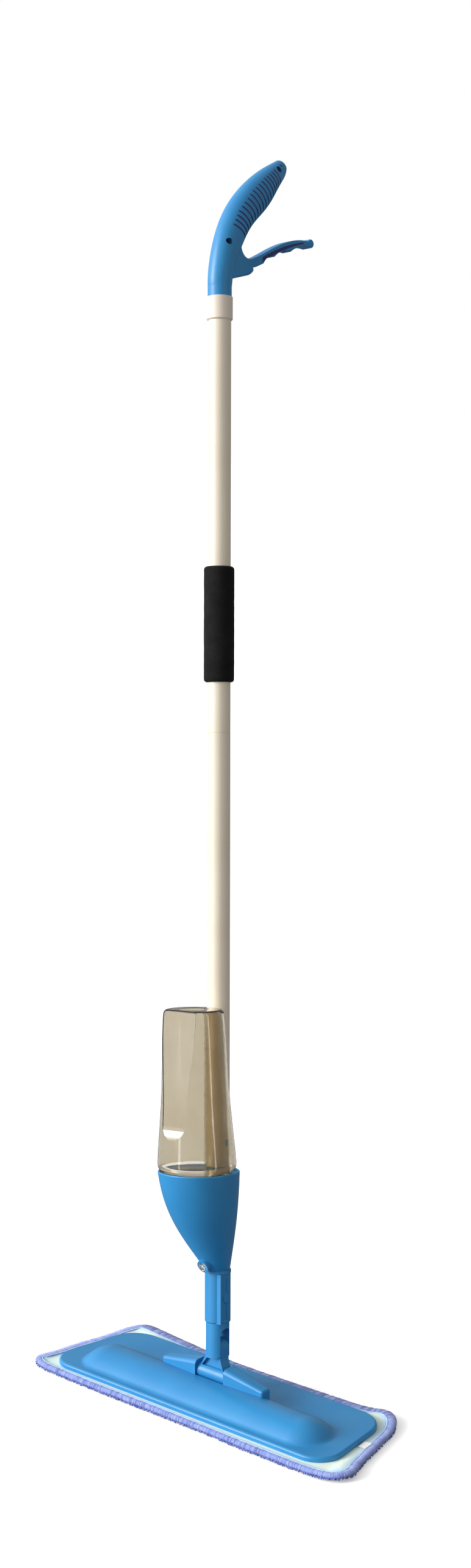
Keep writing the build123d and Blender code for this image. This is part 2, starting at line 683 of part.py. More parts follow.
def holder_sections():
    """Heights and radii of the funnel, foot to rim."""
    swell = HOLDER_RIM_RADIUS - HOLDER_FOOT_RADIUS
    return [(NECK_TOP + HOLDER_HEIGHT * a, HOLDER_FOOT_RADIUS + swell * b) for a, b in HOLDER_CURVE]


def funnel(inset, low_lift):
    """Funnel whose back stays close to the pole and whose front swells out."""
    rings = []
    for z, radius in holder_sections():
        y = min(HOLDER_BACK - radius, 0)
        rings.append(ring_at(y, z, radius - inset))
    form = loft(rings)
    if low_lift:
        form -= rod_between(HOLDER_RIM_RADIUS * 2, 0, NECK_TOP + low_lift)
    return form


def nozzle_frame():
    """Frame on the nozzle's axis, pointing forward and down."""
    turn = radians(NOZZLE_PITCH)
    return Plane(
        origin=(0, NOZZLE_Y, NECK_TOP + NOZZLE_RISE),
        x_dir=(1, 0, 0),
        z_dir=(0, -cos(turn), -sin(turn)),
    )


def along_nozzle(radius, low, high):
    return nozzle_frame() * Pos(0, 0, (low + high) / 2) * Cylinder(radius, high - low)


def make_holder_shell():
    body = funnel(0, 0)
    body += along_nozzle(NOZZLE_BOSS_RADIUS, -NOZZLE_STEM, NOZZLE_BOSS_PROUD)
    body -= funnel(HOLDER_WALL, HOLDER_FLOOR)
    rim_edges = body.faces().sort_by(Axis.Z)[-1].edges()
    body = fillet(rim_edges, HOLDER_RIM_ROUND)
    body -= along_nozzle(NOZZLE_RADIUS + PLUG_PLAY, -NOZZLE_STEM, NOZZLE_PROUD * 2)
    body += tube_between(STEM_RADIUS, STEM_RADIUS - STEM_WALL, NECK_TOP - STEM_LENGTH, NECK_TOP)
    body -= bar_x(BUTTON_RADIUS + PLUG_PLAY, 0, NECK_RADIUS, 0, BUTTON_Z)
    seat = POLE_RADIUS + SEAT_GAP
    body -= rod_between(seat, DECK_Z - DECK_THICK - SEAT_GAP, RIM_Z + OVERCUT)
    return body


def make_holder_deck():
    low = DECK_Z - DECK_THICK
    inner = funnel(HOLDER_WALL + SEAT_GAP, 0)
    body = inner & box_between((-PLATE_DEPTH, -PLATE_DEPTH, low), (PLATE_DEPTH, PLATE_DEPTH, DECK_Z))
    body += rod_between(CUP_RADIUS + CUP_WALL, CUP_FLOOR_Z - CUP_WALL, DECK_Z, BOTTLE_FOOT_Y)
    body += rod_between(SPIKE_RADIUS, CUP_FLOOR_Z - SPIKE_LENGTH, CUP_FLOOR_Z, BOTTLE_FOOT_Y)
    body += rod_between(POLE_RADIUS, low, TUBE_FOOT_Z)
    body += rod_between(PLUG_RADIUS, low, TUBE_FOOT_Z + SPIGOT_LENGTH)
    body -= rod_between(CUP_RADIUS, CUP_FLOOR_Z, TUBE_FOOT_Z, BOTTLE_FOOT_Y)
    body -= rod_between(SPIKE_BORE, 0, RIM_Z, BOTTLE_FOOT_Y)
    tab_z = TUBE_FOOT_Z + TAB_RISE
    tab = box_between(
        (0, -TAB_WIDTH / 2 + PLUG_PLAY, tab_z - TAB_HEIGHT / 2 + PLUG_PLAY),
        (POLE_RADIUS - TUBE_CHAMFER, TAB_WIDTH / 2 - PLUG_PLAY, tab_z + TAB_HEIGHT / 2 - PLUG_PLAY),
    )
    body += tab
    body -= rod_between(STEM_ROD_RADIUS + SWING_GAP, 0, TUBE_TOP)
    return body


# Pole tubes

def make_tube(low, high):
    body = tube_between(POLE_RADIUS, TUBE_BORE, low, high)
    ends = [e for e in body.edges().filter_by(GeomType.CIRCLE) if abs(e.radius - POLE_RADIUS) < 0.01]
    return chamfer(ends, TUBE_CHAMFER)


def make_lower_tube():
    tab_z = TUBE_FOOT_Z + TAB_RISE
    window = box_between(
        (0, -TAB_WIDTH / 2, tab_z - TAB_HEIGHT / 2), (2 * POLE_RADIUS, TAB_WIDTH / 2, tab_z + TAB_HEIGHT / 2)
    )
    return make_tube(TUBE_FOOT_Z, SEAM_Z) - window


def make_tube_joiner():
    half = JOINER_LENGTH / 2
    return tube_between(PLUG_RADIUS, PLUG_RADIUS - JOINER_WALL, SEAM_Z - half, SEAM_Z + half)


def make_rod_guides():
    guides = []
    for rise in GUIDE_HEIGHTS:
        low = TUBE_FOOT_Z + rise
        guides.append(tube_between(PLUG_RADIUS, ROD_RADIUS + SWING_GAP, low, low + GUIDE_THICK))
    return Compound(children=guides)


def make_foam_grip():
    low = SEAM_Z + FOAM_RISE
    body = rod_between(FOAM_RADIUS, low, low + FOAM_LENGTH)
    body = fillet(body.edges().filter_by(GeomType.CIRCLE), FOAM_ROUND)
    return body - rod_between(POLE_RADIUS + PIN_PLAY, low - OVERCUT, low + FOAM_LENGTH + OVERCUT)


def make_top_collar():
    low = TUBE_TOP - COLLAR_SKIRT
    high = low + COLLAR_LENGTH
    body = rod_between(COLLAR_RADIUS, low, high)
    ends = body.edges().filter_by(GeomType.CIRCLE)
    body = fillet(ends.sort_by(Axis.Z)[-1], COLLAR_ROUND / 2)
    body = chamfer(body.edges().filter_by(GeomType.CIRCLE).sort_by(Axis.Z)[0], COLLAR_ROUND)
    body -= rod_between(POLE_RADIUS + PLUG_PLAY / 2, low - OVERCUT, TUBE_TOP)
    return body - rod_between(STUB_RADIUS + PLUG_PLAY / 2, TUBE_TOP, high + OVERCUT)


# Push rod and pump

def make_rod_head():
    body = rod_between(ROD_HEAD_RADIUS, ROD_TOP - ROD_HEAD_LENGTH, ROD_TOP)
    return body - rod_between(ROD_RADIUS + PIN_PLAY / 2, 0, ROD_TOP - ROD_HEAD_LENGTH + ROD_SOCKET)


def make_push_rod():
    return rod_between(ROD_RADIUS, STEM_ROD_TOP - ROD_SOCKET, ROD_TOP - ROD_HEAD_LENGTH + ROD_SOCKET)


def make_pump_piston():
    foot = PISTON_TOP - PISTON_LENGTH
    body = rod_between(PISTON_RADIUS, foot, PISTON_TOP)
    middle = PISTON_TOP - PISTON_LENGTH / 2
    ring = PISTON_RADIUS - SEAL_WIRE
    half_groove = SEAL_WIRE + SEAT_GAP
    body -= tube_between(
        2 * PISTON_RADIUS, ring - SEAL_WIRE + SEAL_SEAT, middle - half_groove, middle + half_groove
    )
    body += rod_between(STEM_ROD_RADIUS, PISTON_TOP, STEM_ROD_TOP)
    return body - rod_between(ROD_RADIUS + PIN_PLAY / 2, STEM_ROD_TOP - ROD_SOCKET, STEM_ROD_TOP + OVERCUT)


def make_piston_seal():
    middle = PISTON_TOP - PISTON_LENGTH / 2
    ring = PUMP_BORE - PIN_PLAY - SEAL_WIRE
    return Pos(0, 0, middle) * Torus(ring, SEAL_WIRE)


def make_pump_spring():
    """Coil of half-turn arcs under the piston."""
    low = PUMP_Z + PUMP_FLOOR + SPRING_WIRE + SEAT_GAP
    high = PISTON_TOP - PISTON_LENGTH - SPRING_WIRE - SEAT_GAP
    return coil(SPRING_RADIUS, SPRING_WIRE, SPRING_TURNS, low, high)


def coil(radius, wire, turns, low, high):
    """One unbroken round wire wound on an upright helix."""
    path = Helix((high - low) / turns, high - low, radius, center=(0, 0, low))
    start = Plane(origin=path @ 0, z_dir=path % 0)
    return sweep(start * Circle(wire), path, is_frenet=True)


def make_pump_barrel():
    body = rod_between(PUMP_RADIUS, PUMP_Z, PUMP_TOP)
    inlet_z = PUMP_Z + INLET_RISE
    inlet_end = -PUMP_RADIUS - NIPPLE_LENGTH
    body += bar_y(NIPPLE_RADIUS, inlet_end, 0, 0, inlet_z)
    reach = NOZZLE_STEM + NIPPLE_LENGTH
    body += along_nozzle(NIPPLE_RADIUS, -reach - NIPPLE_ROOT, -NOZZLE_STEM)
    body -= rod_between(PUMP_BORE, PUMP_Z + PUMP_FLOOR, PUMP_TOP + OVERCUT)
    body -= bar_y(NIPPLE_BORE, inlet_end - OVERCUT, 0, 0, inlet_z)
    return body - along_nozzle(NIPPLE_BORE, -reach - 3 * NIPPLE_ROOT, -NOZZLE_STEM + OVERCUT)


def make_pump_cap():
    return tube_between(PUMP_RADIUS, STEM_ROD_RADIUS + PIN_PLAY, PUMP_TOP, PUMP_TOP + PUMP_CAP)


def make_valve_balls():
    inlet = Pos(0, -PUMP_RADIUS - NIPPLE_LENGTH / 2, PUMP_Z + INLET_RISE) * Sphere(BALL_RADIUS)
    outlet = nozzle_frame() * Pos(0, 0, -NOZZLE_STEM - NIPPLE_LENGTH / 2) * Sphere(BALL_RADIUS)
    return Compound(children=[inlet, outlet])


def make_inlet_hose():
    top = (0, BOTTLE_FOOT_Y, CUP_FLOOR_Z - CUP_WALL - SEAT_GAP)
    corner = (0, BOTTLE_FOOT_Y, PUMP_Z + INLET_RISE)
    end = (0, -PUMP_RADIUS - SEAT_GAP, PUMP_Z + INLET_RISE)
    path = FilletPolyline(top, corner, end, radius=HOSE_BEND)
    start = Plane(origin=path @ 0, x_dir=(1, 0, 0), z_dir=path % 0)
    return sweep(start * (Circle(HOSE_RADIUS) - Circle(NIPPLE_RADIUS + PIN_PLAY)), path)


def make_outlet_hose():
    tube = along_nozzle(HOSE_RADIUS, -NOZZLE_STEM - HOSE_LAP, -NOZZLE_STEM + HOSE_LAP)
    return tube - along_nozzle(NIPPLE_RADIUS + PIN_PLAY, -2 * NOZZLE_STEM, 0)


# Nozzle

def make_nozzle_body():
    body = along_nozzle(NOZZLE_RADIUS, -NOZZLE_STEM / 2, NOZZLE_PROUD)
    body = fillet(body.faces().sort_by(Axis.Y)[0].edges(), NOZZLE_TIP_PROUD / 2)
    body += along_nozzle(NIPPLE_RADIUS, -NOZZLE_STEM + PLUG_PLAY, 0)
    body -= along_nozzle(NOZZLE_TIP_RADIUS + PLUG_PLAY, NOZZLE_PROUD - NOZZLE_TIP_SEAT, NOZZLE_PROUD * 2)
    return body - along_nozzle(NIPPLE_BORE, -2 * NOZZLE_STEM, NOZZLE_PROUD)


def make_nozzle_tip():
    body = along_nozzle(NOZZLE_TIP_RADIUS, NOZZLE_PROUD - NOZZLE_TIP_SEAT, NOZZLE_PROUD + NOZZLE_TIP_PROUD)
    body = fillet(body.faces().sort_by(Axis.Y)[0].edges(), NOZZLE_TIP_PROUD * 0.8)
    return body - along_nozzle(NOZZLE_HOLE, 0, 4 * NOZZLE_PROUD)


# Bottle, upside down in its holder

def bottle_form(inset):
    """Bell-shaped body with a flat front and a back groove for the pole."""
    low = BOTTLE_Z + inset
    high = BOTTLE_Z + BOTTLE_HEIGHT - inset
    swell = BOTTLE_FOOT_RADIUS - BOTTLE_TOP_RADIUS
    shift = BOTTLE_TOP_Y - BOTTLE_FOOT_Y
    rings = []
    for share, round_share in BOTTLE_CURVE:
        z = low + (high - low) * share
        radius = BOTTLE_FOOT_RADIUS - swell * round_share - inset
        rings.append(ring_at(BOTTLE_FOOT_Y + shift * share, z, radius))
    body = loft(rings)
    if not inset:
        body = fillet(body.faces().sort_by(Axis.Z)[-1].edges(), BOTTLE_TOP_ROUND)
        body = fillet(body.faces().sort_by(Axis.Z)[0].edges(), BOTTLE_FOOT_ROUND)
    bend = BOTTLE_Z + FACET_RISE + FACET_SWEEP
    far = 2 * FACET_FOOT_Y
    over = BOTTLE_Z + BOTTLE_HEIGHT + OVERCUT
    knee = (FACET_FOOT_Y + inset, bend)
    out = (FACET_FOOT_Y + inset - FACET_SWEEP / 2, BOTTLE_Z + FACET_RISE - inset)
    face = Line((FACET_TOP_Y + inset, over), knee)
    sweep_out = TangentArc(knee, out, tangent=face % 1)
    rest = Polyline(out, (far, out[1]), (far, over), (FACET_TOP_Y + inset, over))
    body -= side_profile([face, sweep_out, rest], PLATE_DEPTH)
    groove = POLE_RADIUS + GROOVE_GAP + inset
    body -= rod_between(groove, 0, over)
    return body - box_between((-groove, 0, 0), (groove, PLATE_DEPTH, over))


def make_bottle():
    body = bottle_form(0)
    top = BOTTLE_Z + BOTTLE_HEIGHT
    span = BOTTLE_TOP_RADIUS / 2
    dish = (span * span + BOTTLE_DISH * BOTTLE_DISH) / (2 * BOTTLE_DISH)
    hollow = bottle_form(BOTTLE_WALL)
    middle = Pos(0, BOTTLE_TOP_Y, top - BOTTLE_DISH + dish)
    hollow -= middle * Sphere(dish + BOTTLE_WALL)
    body -= middle * Sphere(dish)
    body += rod_between(MOUTH_RADIUS, MOUTH_Z, BOTTLE_Z + BOTTLE_WALL, BOTTLE_FOOT_Y)
    body -= hollow
    inside = BOTTLE_Z + 2 * BOTTLE_WALL
    return body - rod_between(MOUTH_RADIUS - MOUTH_WALL, MOUTH_Z - OVERCUT, inside, BOTTLE_FOOT_Y)


def make_bottle_cap():
    body = rod_between(CAP_RADIUS, CAP_Z, CAP_Z + CAP_LENGTH, BOTTLE_FOOT_Y)
    body = fillet(body.edges().filter_by(GeomType.CIRCLE).sort_by(Axis.Z)[0], CAP_ROUND)
    high = CAP_Z + CAP_LENGTH + OVERCUT
    body -= rod_between(MOUTH_RADIUS + PLUG_PLAY, CAP_Z + CAP_FLOOR, high, BOTTLE_FOOT_Y)
    return body - rod_between(CAP_HOLE, 0, RIM_Z, BOTTLE_FOOT_Y)


def make_cap_seal():
    return tube_between(MOUTH_RADIUS, CAP_SEAL_BORE, MOUTH_Z - CAP_SEAL, MOUTH_Z, BOTTLE_FOOT_Y)


def make_cap_valve():
    low = CAP_Z + CAP_FLOOR + SEAT_GAP
    body = rod_between(VALVE_RADIUS, low, low + VALVE_THICK, BOTTLE_FOOT_Y)
    return body + rod_between(VALVE_STEM, CUP_FLOOR_Z + SEAT_GAP, low, BOTTLE_FOOT_Y)


# Handle and trigger, in the handle's own frame: height 0 is the tube's top

def grip_plane(section):
    y, rise, slope = section[:3]
    turn = radians(slope)
    return Plane(origin=(0, y, rise), x_dir=(1, 0, 0), z_dir=(0, sin(turn), cos(turn)))


def grip_form(inset, first):
    rings = []
    for section in GRIP_SECTIONS[first:]:
        half = section[4] * STUB_RADIUS - inset
        depth = section[3] * STUB_RADIUS - inset
        rings.append(grip_plane(section) * Ellipse(half, depth))
    return loft(rings)


def grip_at(place):
    """Grip section at a place between two listed ones."""
    index = min(int(place), len(GRIP_SECTIONS) - 2)
    share = place - index
    pairs = zip(GRIP_SECTIONS[index], GRIP_SECTIONS[index + 1])
    return tuple(a + (b - a) * share for a, b in pairs)


def from_pivot(points):
    """Points given from the trigger's pivot, in the handle's own y and height."""
    return [(PIVOT_Y + y, PIVOT_RISE + rise) for y, rise in points]


def horn_form():
    """Housing of the trigger's pivot under the grip."""
    heel, low = from_pivot(HORN_BELLY)
    nose, lip, arch, throat = from_pivot((HORN_NOSE, HORN_LIP, HORN_ARCH, HORN_THROAT))
    belly = Line(heel, low)
    edges = [
        belly,
        TangentArc(low, nose, tangent=belly % 1),
        Line(nose, lip),
        ThreePointArc(lip, arch, throat),
        Polyline(throat, *from_pivot(HORN_ROOT), heel),
    ]
    outline = make_face(edges)
    corners = outline.vertices().filter_by(lambda v: v.X > lip[0] - OVERCUT)
    outline = fillet(corners, HORN_CORNER)
    body = extrude(Plane.YZ * outline, HORN_HALF, both=True)
    cheeks = body.edges().filter_by(lambda e: abs(abs(e.center().X) - HORN_HALF) < 0.01)
    return fillet(cheeks.filter_by(lambda e: e.center().Y > STUB_RADIUS), HORN_ROUND)


def trigger_well():
    """Room for the trigger's hub, its arm and the sweep of its blade."""
    half = TRIGGER_HALF + SWING_GAP
    hub = bar_x(TRIGGER_HUB + 2 * SWING_GAP, -half, half, PIVOT_Y, PIVOT_RISE)
    chin = (PIVOT_Y, PIVOT_RISE - TRIGGER_HUB - 2 * SWING_GAP)
    mouth = Polyline(chin, *from_pivot(WELL_MOUTH), close=True)
    well = hub + side_profile(mouth, half)
    arm = box_between(
        (-ARM_HALF - SWING_GAP, 0, PIVOT_RISE - ARM_RISE - ARM_TIP - 2 * SWING_GAP),
        (ARM_HALF + SWING_GAP, PIVOT_Y - ARM_TIP, PIVOT_RISE + ARM_RISE + ARM_TIP + 2 * SWING_GAP),
    )
    return well + arm


def grip_grooves():
    """Finger grooves across the underside of the grip."""
    cutters = []
    for i in range(GROOVES):
        section = grip_at(GROOVE_FROM + (GROOVE_TO - GROOVE_FROM) * i / (GROOVES - 1))
        depth = section[3] * STUB_RADIUS
        half = section[4] * STUB_RADIUS
        ring = Ellipse(half + OVERCUT, depth + OVERCUT) - Ellipse(half - GROOVE_DEPTH, depth - GROOVE_DEPTH)
        low = depth * GROOVE_SHARE
        ring = ring & (Pos(0, low + depth) * Rectangle(4 * half, 2 * depth))
        cutters.append(extrude(grip_plane(section) * ring, GROOVE_WIDTH / 2, both=True))
    return cutters


def make_handle():
    body = grip_form(0, 0)
    body = fillet(body.faces().sort_by(Axis.Y)[-1].edges(), GRIP_TIP_ROUND)
    body += horn_form()
    body += rod_between(STUB_RADIUS, 0, STUB_LENGTH)
    body += rod_between(PLUG_RADIUS, -PLUG_LENGTH, 0)
    hollow = grip_form(GRIP_WALL, 3)
    for y, rise, seat in HANDLE_SCREWS:
        hollow -= bar_x(SCREW_BOSS_RADIUS, -HORN_HALF * 2, HORN_HALF * 2, y, rise)
    body -= hollow
    body -= rod_between(ROD_CHAMBER, -PLUG_LENGTH - OVERCUT, STUB_LENGTH)
    body -= rod_between(ROD_HEAD_RADIUS + 2 * SWING_GAP, 0, ROD_CHAMBER_TOP)
    body -= trigger_well()
    for y, rise, seat in HANDLE_SCREWS:
        body -= bar_x(HANDLE_SCREW_RADIUS, seat, HORN_HALF * 2, y, rise)
        body -= bar_x(SCREW_RADIUS, seat - HANDLE_SCREW_GRIP, seat, y, rise)
    body -= bar_x(TIP_DIMPLE_RADIUS, TIP_DIMPLE_FLOOR, HORN_HALF * 2, *TIP_DIMPLE)
    pin = TRIGGER_HALF + SWING_GAP + TRIGGER_PIN_SEAT
    body -= bar_x(TRIGGER_PIN_RADIUS + PIN_PLAY / 2, -pin, pin, PIVOT_Y, PIVOT_RISE)
    return body - grip_grooves()


def make_handle_screws():
    screws = []
    for y, rise, seat in HANDLE_SCREWS:
        screw = bar_x(SCREW_HEAD_RADIUS, seat, seat + SCREW_HEAD, y, rise)
        screws.append(screw + bar_x(SCREW_RADIUS, seat - HANDLE_SCREW_GRIP, seat, y, rise))
    return Compound(children=screws)


def make_trigger_pin():
    half = TRIGGER_HALF + SWING_GAP + TRIGGER_PIN_SEAT
    return bar_x(TRIGGER_PIN_RADIUS, -half, half, PIVOT_Y, PIVOT_RISE)


def make_trigger():
    top = from_pivot(TRIGGER_TOP)
    nose, start = from_pivot(TRIGGER_TIP)
    chin = from_pivot((TRIGGER_CHIN,))[0]
    edges = [Spline(*top), ThreePointArc(top[-1], nose, start)]
    for cusp in from_pivot(TRIGGER_CUSPS):
        middle = ((start[0] + cusp[0]) / 2, (start[1] + cusp[1]) / 2 + SCALLOP_RISE)
        edges.append(ThreePointArc(start, middle, cusp))
        start = cusp
    hub = (PIVOT_Y, PIVOT_RISE)
    edges.append(Polyline(start, chin, hub, top[0]))
    body = side_profile(edges, TRIGGER_HALF)
    blade = PIVOT_Y + TRIGGER_TOP[1][0] - OVERCUT
    sides = body.edges().filter_by(lambda e: abs(abs(e.center().X) - TRIGGER_HALF) < 0.01)
    body = fillet(sides.filter_by(lambda e: e.center().Y > blade), TRIGGER_ROUND)
    over = Spline(*from_pivot(POCKET_TOP))
    under = Spline(*from_pivot(POCKET_FOOT))
    pocket = make_face([over, Line(over @ 1, under @ 0), under, Line(under @ 1, over @ 0)])
    for side in (-1, 1):
        face = Pos(side * (TRIGGER_HALF - TRIGGER_POCKET), 0, 0) * Plane.YZ * pocket
        body -= extrude(face, side * 2 * TRIGGER_POCKET)
    body += bar_x(TRIGGER_HUB, -TRIGGER_HALF, TRIGGER_HALF, PIVOT_Y, PIVOT_RISE)
    tip_z = PIVOT_RISE + ARM_RISE
    length = hypot(PIVOT_Y, ARM_RISE)
    arm = Pos(0, PIVOT_Y / 2, PIVOT_RISE + ARM_RISE / 2) * Rot(-TRIGGER_SWEEP / 2, 0, 0)
    body += arm * Box(2 * ARM_HALF, length, ARM_THICK)
    body += bar_x(ARM_TIP, -ARM_HALF, ARM_HALF, 0, tip_z)
    reach = 2 * TRIGGER_HALF
    return body - bar_x(TRIGGER_PIN_RADIUS + PIN_PLAY, -reach, reach, PIVOT_Y, PIVOT_RISE)


def main():
    handle = make_handle()
    row = {
        "pad_pile": make_pad_pile(),
        "pad_backing": make_pad_backing(),
        "care_tag": make_care_tag(),
        "head_plate": make_head_plate(),
        "bracket_left": make_bracket(-1),
        "bracket_right": make_bracket(1),
        "bracket_screws": make_bracket_screws(),
        "hinge_axle": make_hinge_axle(),
        "sole_foam": make_sole_foam(),
        "hook_strips": make_hook_strips(),
    }
    yoke = {
        "yoke": make_yoke(),
        "tilt_pin": make_tilt_pin(),
    }
    pole = {
        "neck": make_neck(),
        "snap_button": make_snap_button(),
        "button_spring": make_button_spring(),
        "holder_shell": make_holder_shell(),
        "holder_deck": make_holder_deck(),
        "lower_tube": make_lower_tube(),
        "upper_tube": make_tube(SEAM_Z, TUBE_TOP),
        "tube_joiner": make_tube_joiner(),
        "rod_guides": make_rod_guides(),
        "foam_grip": make_foam_grip(),
        "top_collar": make_top_collar(),
        "rod_head": make_rod_head(),
        "push_rod": make_push_rod(),
        "pump_piston": make_pump_piston(),
        "piston_seal": make_piston_seal(),
        "pump_spring": make_pump_spring(),
        "pump_barrel": make_pump_barrel(),
        "pump_cap": make_pump_cap(),
        "valve_balls": make_valve_balls(),
        "inlet_hose": make_inlet_hose(),
        "outlet_hose": make_outlet_hose(),
        "nozzle_body": make_nozzle_body(),
        "nozzle_tip": make_nozzle_tip(),
        "bottle": make_bottle(),
        "bottle_cap": make_bottle_cap(),
        "cap_seal": make_cap_seal(),
        "cap_valve": make_cap_valve(),
    }
    grip = {
        "handle_left": split(handle, Plane.YZ, keep=Keep.BOTTOM),
        "handle_right": split(handle, Plane.YZ, keep=Keep.TOP),
        "handle_screws": make_handle_screws(),
        "trigger": make_trigger(),
        "trigger_pin": make_trigger_pin(),
    }
    os.makedirs("parts", exist_ok=True)
    groups = ((Location(), row), (YOKE_FRAME, yoke), (POLE_FRAME, pole), (HANDLE_FRAME, grip))
    for frame, nodes in groups:
        for name, shape in nodes.items():
            export_step(frame * shape, f"parts/{name}.step")


main()
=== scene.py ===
"""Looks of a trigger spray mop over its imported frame: plastics, tube, bottle, foam sleeve and cloth pad."""

import json
import logging
import math
from dataclasses import dataclass, field
from enum import Enum
from typing import Sequence

import bmesh
import bpy
from mathutils import Matrix, Vector, noise


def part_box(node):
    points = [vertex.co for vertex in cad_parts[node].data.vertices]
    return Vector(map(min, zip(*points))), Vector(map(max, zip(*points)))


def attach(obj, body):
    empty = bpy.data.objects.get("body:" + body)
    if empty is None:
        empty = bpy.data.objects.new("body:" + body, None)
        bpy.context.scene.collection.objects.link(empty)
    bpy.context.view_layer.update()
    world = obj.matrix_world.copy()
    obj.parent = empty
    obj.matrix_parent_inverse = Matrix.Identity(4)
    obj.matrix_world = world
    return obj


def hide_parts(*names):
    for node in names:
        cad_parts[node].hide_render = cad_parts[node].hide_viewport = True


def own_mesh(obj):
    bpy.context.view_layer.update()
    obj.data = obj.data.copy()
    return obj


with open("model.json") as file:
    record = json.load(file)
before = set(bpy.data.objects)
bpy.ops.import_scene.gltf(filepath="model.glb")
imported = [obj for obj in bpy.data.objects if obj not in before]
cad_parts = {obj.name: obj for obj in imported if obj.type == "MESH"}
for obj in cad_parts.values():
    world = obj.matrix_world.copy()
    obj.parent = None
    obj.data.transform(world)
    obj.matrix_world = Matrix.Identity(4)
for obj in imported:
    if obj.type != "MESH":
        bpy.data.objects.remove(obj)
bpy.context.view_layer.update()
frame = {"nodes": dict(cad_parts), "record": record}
LOG = logging.getLogger("spray_mop")
MM = 0.001

FLOAT = "NodeSocketFloat"
DENSEST = 4.0e5
KNOT_STEPS = 24
POLE_WAY = (-0.104528, 0.121202, 0.987109)

Colour = tuple[int, int, int]
Pair = tuple[float, float]
Triple = tuple[float, float, float]
Values = dict[str | int, object]
Node = bpy.types.Node
Piece = bpy.types.Object
Socket = bpy.types.NodeSocket
Tree = bpy.types.NodeTree


class Body(Enum):
    """Moving bodies of the frame that new pieces ride on."""

    HEAD = "head"
    POLE = "pole"
    ROD = "rod"
    BUTTON = "button"


class Effect(Enum):
    """Shader groups that several finishes share."""

    MOULD_GRAIN = "Mould grain"
    SCUFFS = "Scuffs"
    LOOPS = "Loops"
    YARN = "Yarn"
    # masks for the painted shade in the grip's grooves and holes and on the trigger's sides
    GROOVES = "Grip grooves"
    POCKET = "Trigger pocket"


def linear(colour: Colour) -> tuple[float, float, float, float]:
    """Turns a screen colour into the renderer's linear one.

    Args:
        colour: red, green and blue from 0 to 255.

    Returns:
        Linear red, green and blue with full alpha.
    """
    parts = [c / 255 for c in colour]
    r, g, b = (p / 12.92 if p <= 0.04045 else ((p + 0.055) / 1.055) ** 2.4 for p in parts)
    return (r, g, b, 1.0)


def smooth_step(low: float, high: float, value: float) -> float:
    """Eases from 0 at low to 1 at high."""
    share = min(1.0, max(0.0, (value - low) / (high - low)))
    return share * share * (3 - 2 * share)


class NodeSheet:
    """Short calls for laying nodes in a shader or geometry tree."""

    def __init__(self, tree: Tree) -> None:
        """Takes the tree to lay nodes in."""
        self.tree = tree

    def add(self, kind: str, inputs: Values | None = None, **settings: object) -> Node:
        """Lays one node.

        Args:
            kind: Blender's node type.
            inputs: a value or another node's socket for each input, by name or index.
            settings: the node's own properties.

        Returns:
            The new node.
        """
        node = self.tree.nodes.new(kind)
        for name, value in settings.items():
            setattr(node, name, value)
        for key, value in (inputs or {}).items():
            if isinstance(value, Socket):
                self.tree.links.new(value, node.inputs[key])
            else:
                node.inputs[key].default_value = value
        return node

    def calc(self, operation: str, *values: float | Socket) -> Socket:
        """Lays a Math node on the values and gives its result."""
        return self.add("ShaderNodeMath", dict(enumerate(values)), operation=operation).outputs[0]

    def span(
        self, value: Socket, low: float | Socket, high: float, to_low: float, to_high: float
    ) -> Socket:
        """Maps low..high of a value onto another span, clamped, and gives the result."""
        inputs = {0: value, 1: low, 2: high, 3: to_low, 4: to_high}
        return self.add("ShaderNodeMapRange", inputs).outputs[0]

    def tint(self, share: float | Socket, first: object, second: object) -> Socket:
        """Mixes two colours by a share and gives the result."""
        mixed = self.add("ShaderNodeMix", {0: share, 6: first, 7: second}, data_type="RGBA")
        return mixed.outputs[2]

    def grain(self, vector: Socket, scale: float | Socket, detail: float) -> Socket:
        """Lays a noise over a vector and gives its value."""
        inputs = {"Vector": vector, "Scale": scale, "Detail": detail}
        return self.add("ShaderNodeTexNoise", inputs).outputs[0]

    def dot(self, vector: Socket, way: Triple) -> Socket:
        """Gives how far a vector reaches along a way."""
        node = self.add("ShaderNodeVectorMath", {0: vector, 1: way}, operation="DOT_PRODUCT")
        return node.outputs["Value"]

    def effect(self, effect: Effect, inputs: Values) -> Node:
        """Places a shared shader group with its own values."""
        return self.add("ShaderNodeGroup", inputs, node_tree=SharedEffects.tree(effect))

    def place(self) -> Socket:
        """Gives the surface's place in the shared frame."""
        return self.add("ShaderNodeTexCoord").outputs["Object"]

    def bump(self, strength: float, distance: float, height: Socket, **more: Socket) -> Socket:
        """Turns a height into a normal.

        Args:
            strength: how strongly it shows, from 0 to 1.
            distance: the height of a full step, in metres.
            height: the height, from 0 to 1.
            more: other inputs of the node, such as a normal to start from.

        Returns:
            The new normal.
        """
        inputs = {"Strength": strength, "Distance": distance, "Height": height, **more}
        return self.add("ShaderNodeBump", inputs).outputs[0]

    def principled(self, colour: Socket, rough: Socket, normal: Socket, fixed: Values) -> Socket:
        """Lays the surface shader.

        Args:
            colour: the surface's colour.
            rough: its roughness.
            normal: its normal.
            fixed: inputs that are the same all over.

        Returns:
            The shader.
        """
        inputs = {"Base Color": colour, "Roughness": rough, "Normal": normal, **fixed}
        return self.add("ShaderNodeBsdfPrincipled", inputs).outputs[0]

    def surface(self, shader: Socket) -> None:
        """Ends a material in this shader."""
        self.add("ShaderNodeOutputMaterial", {"Surface": shader})


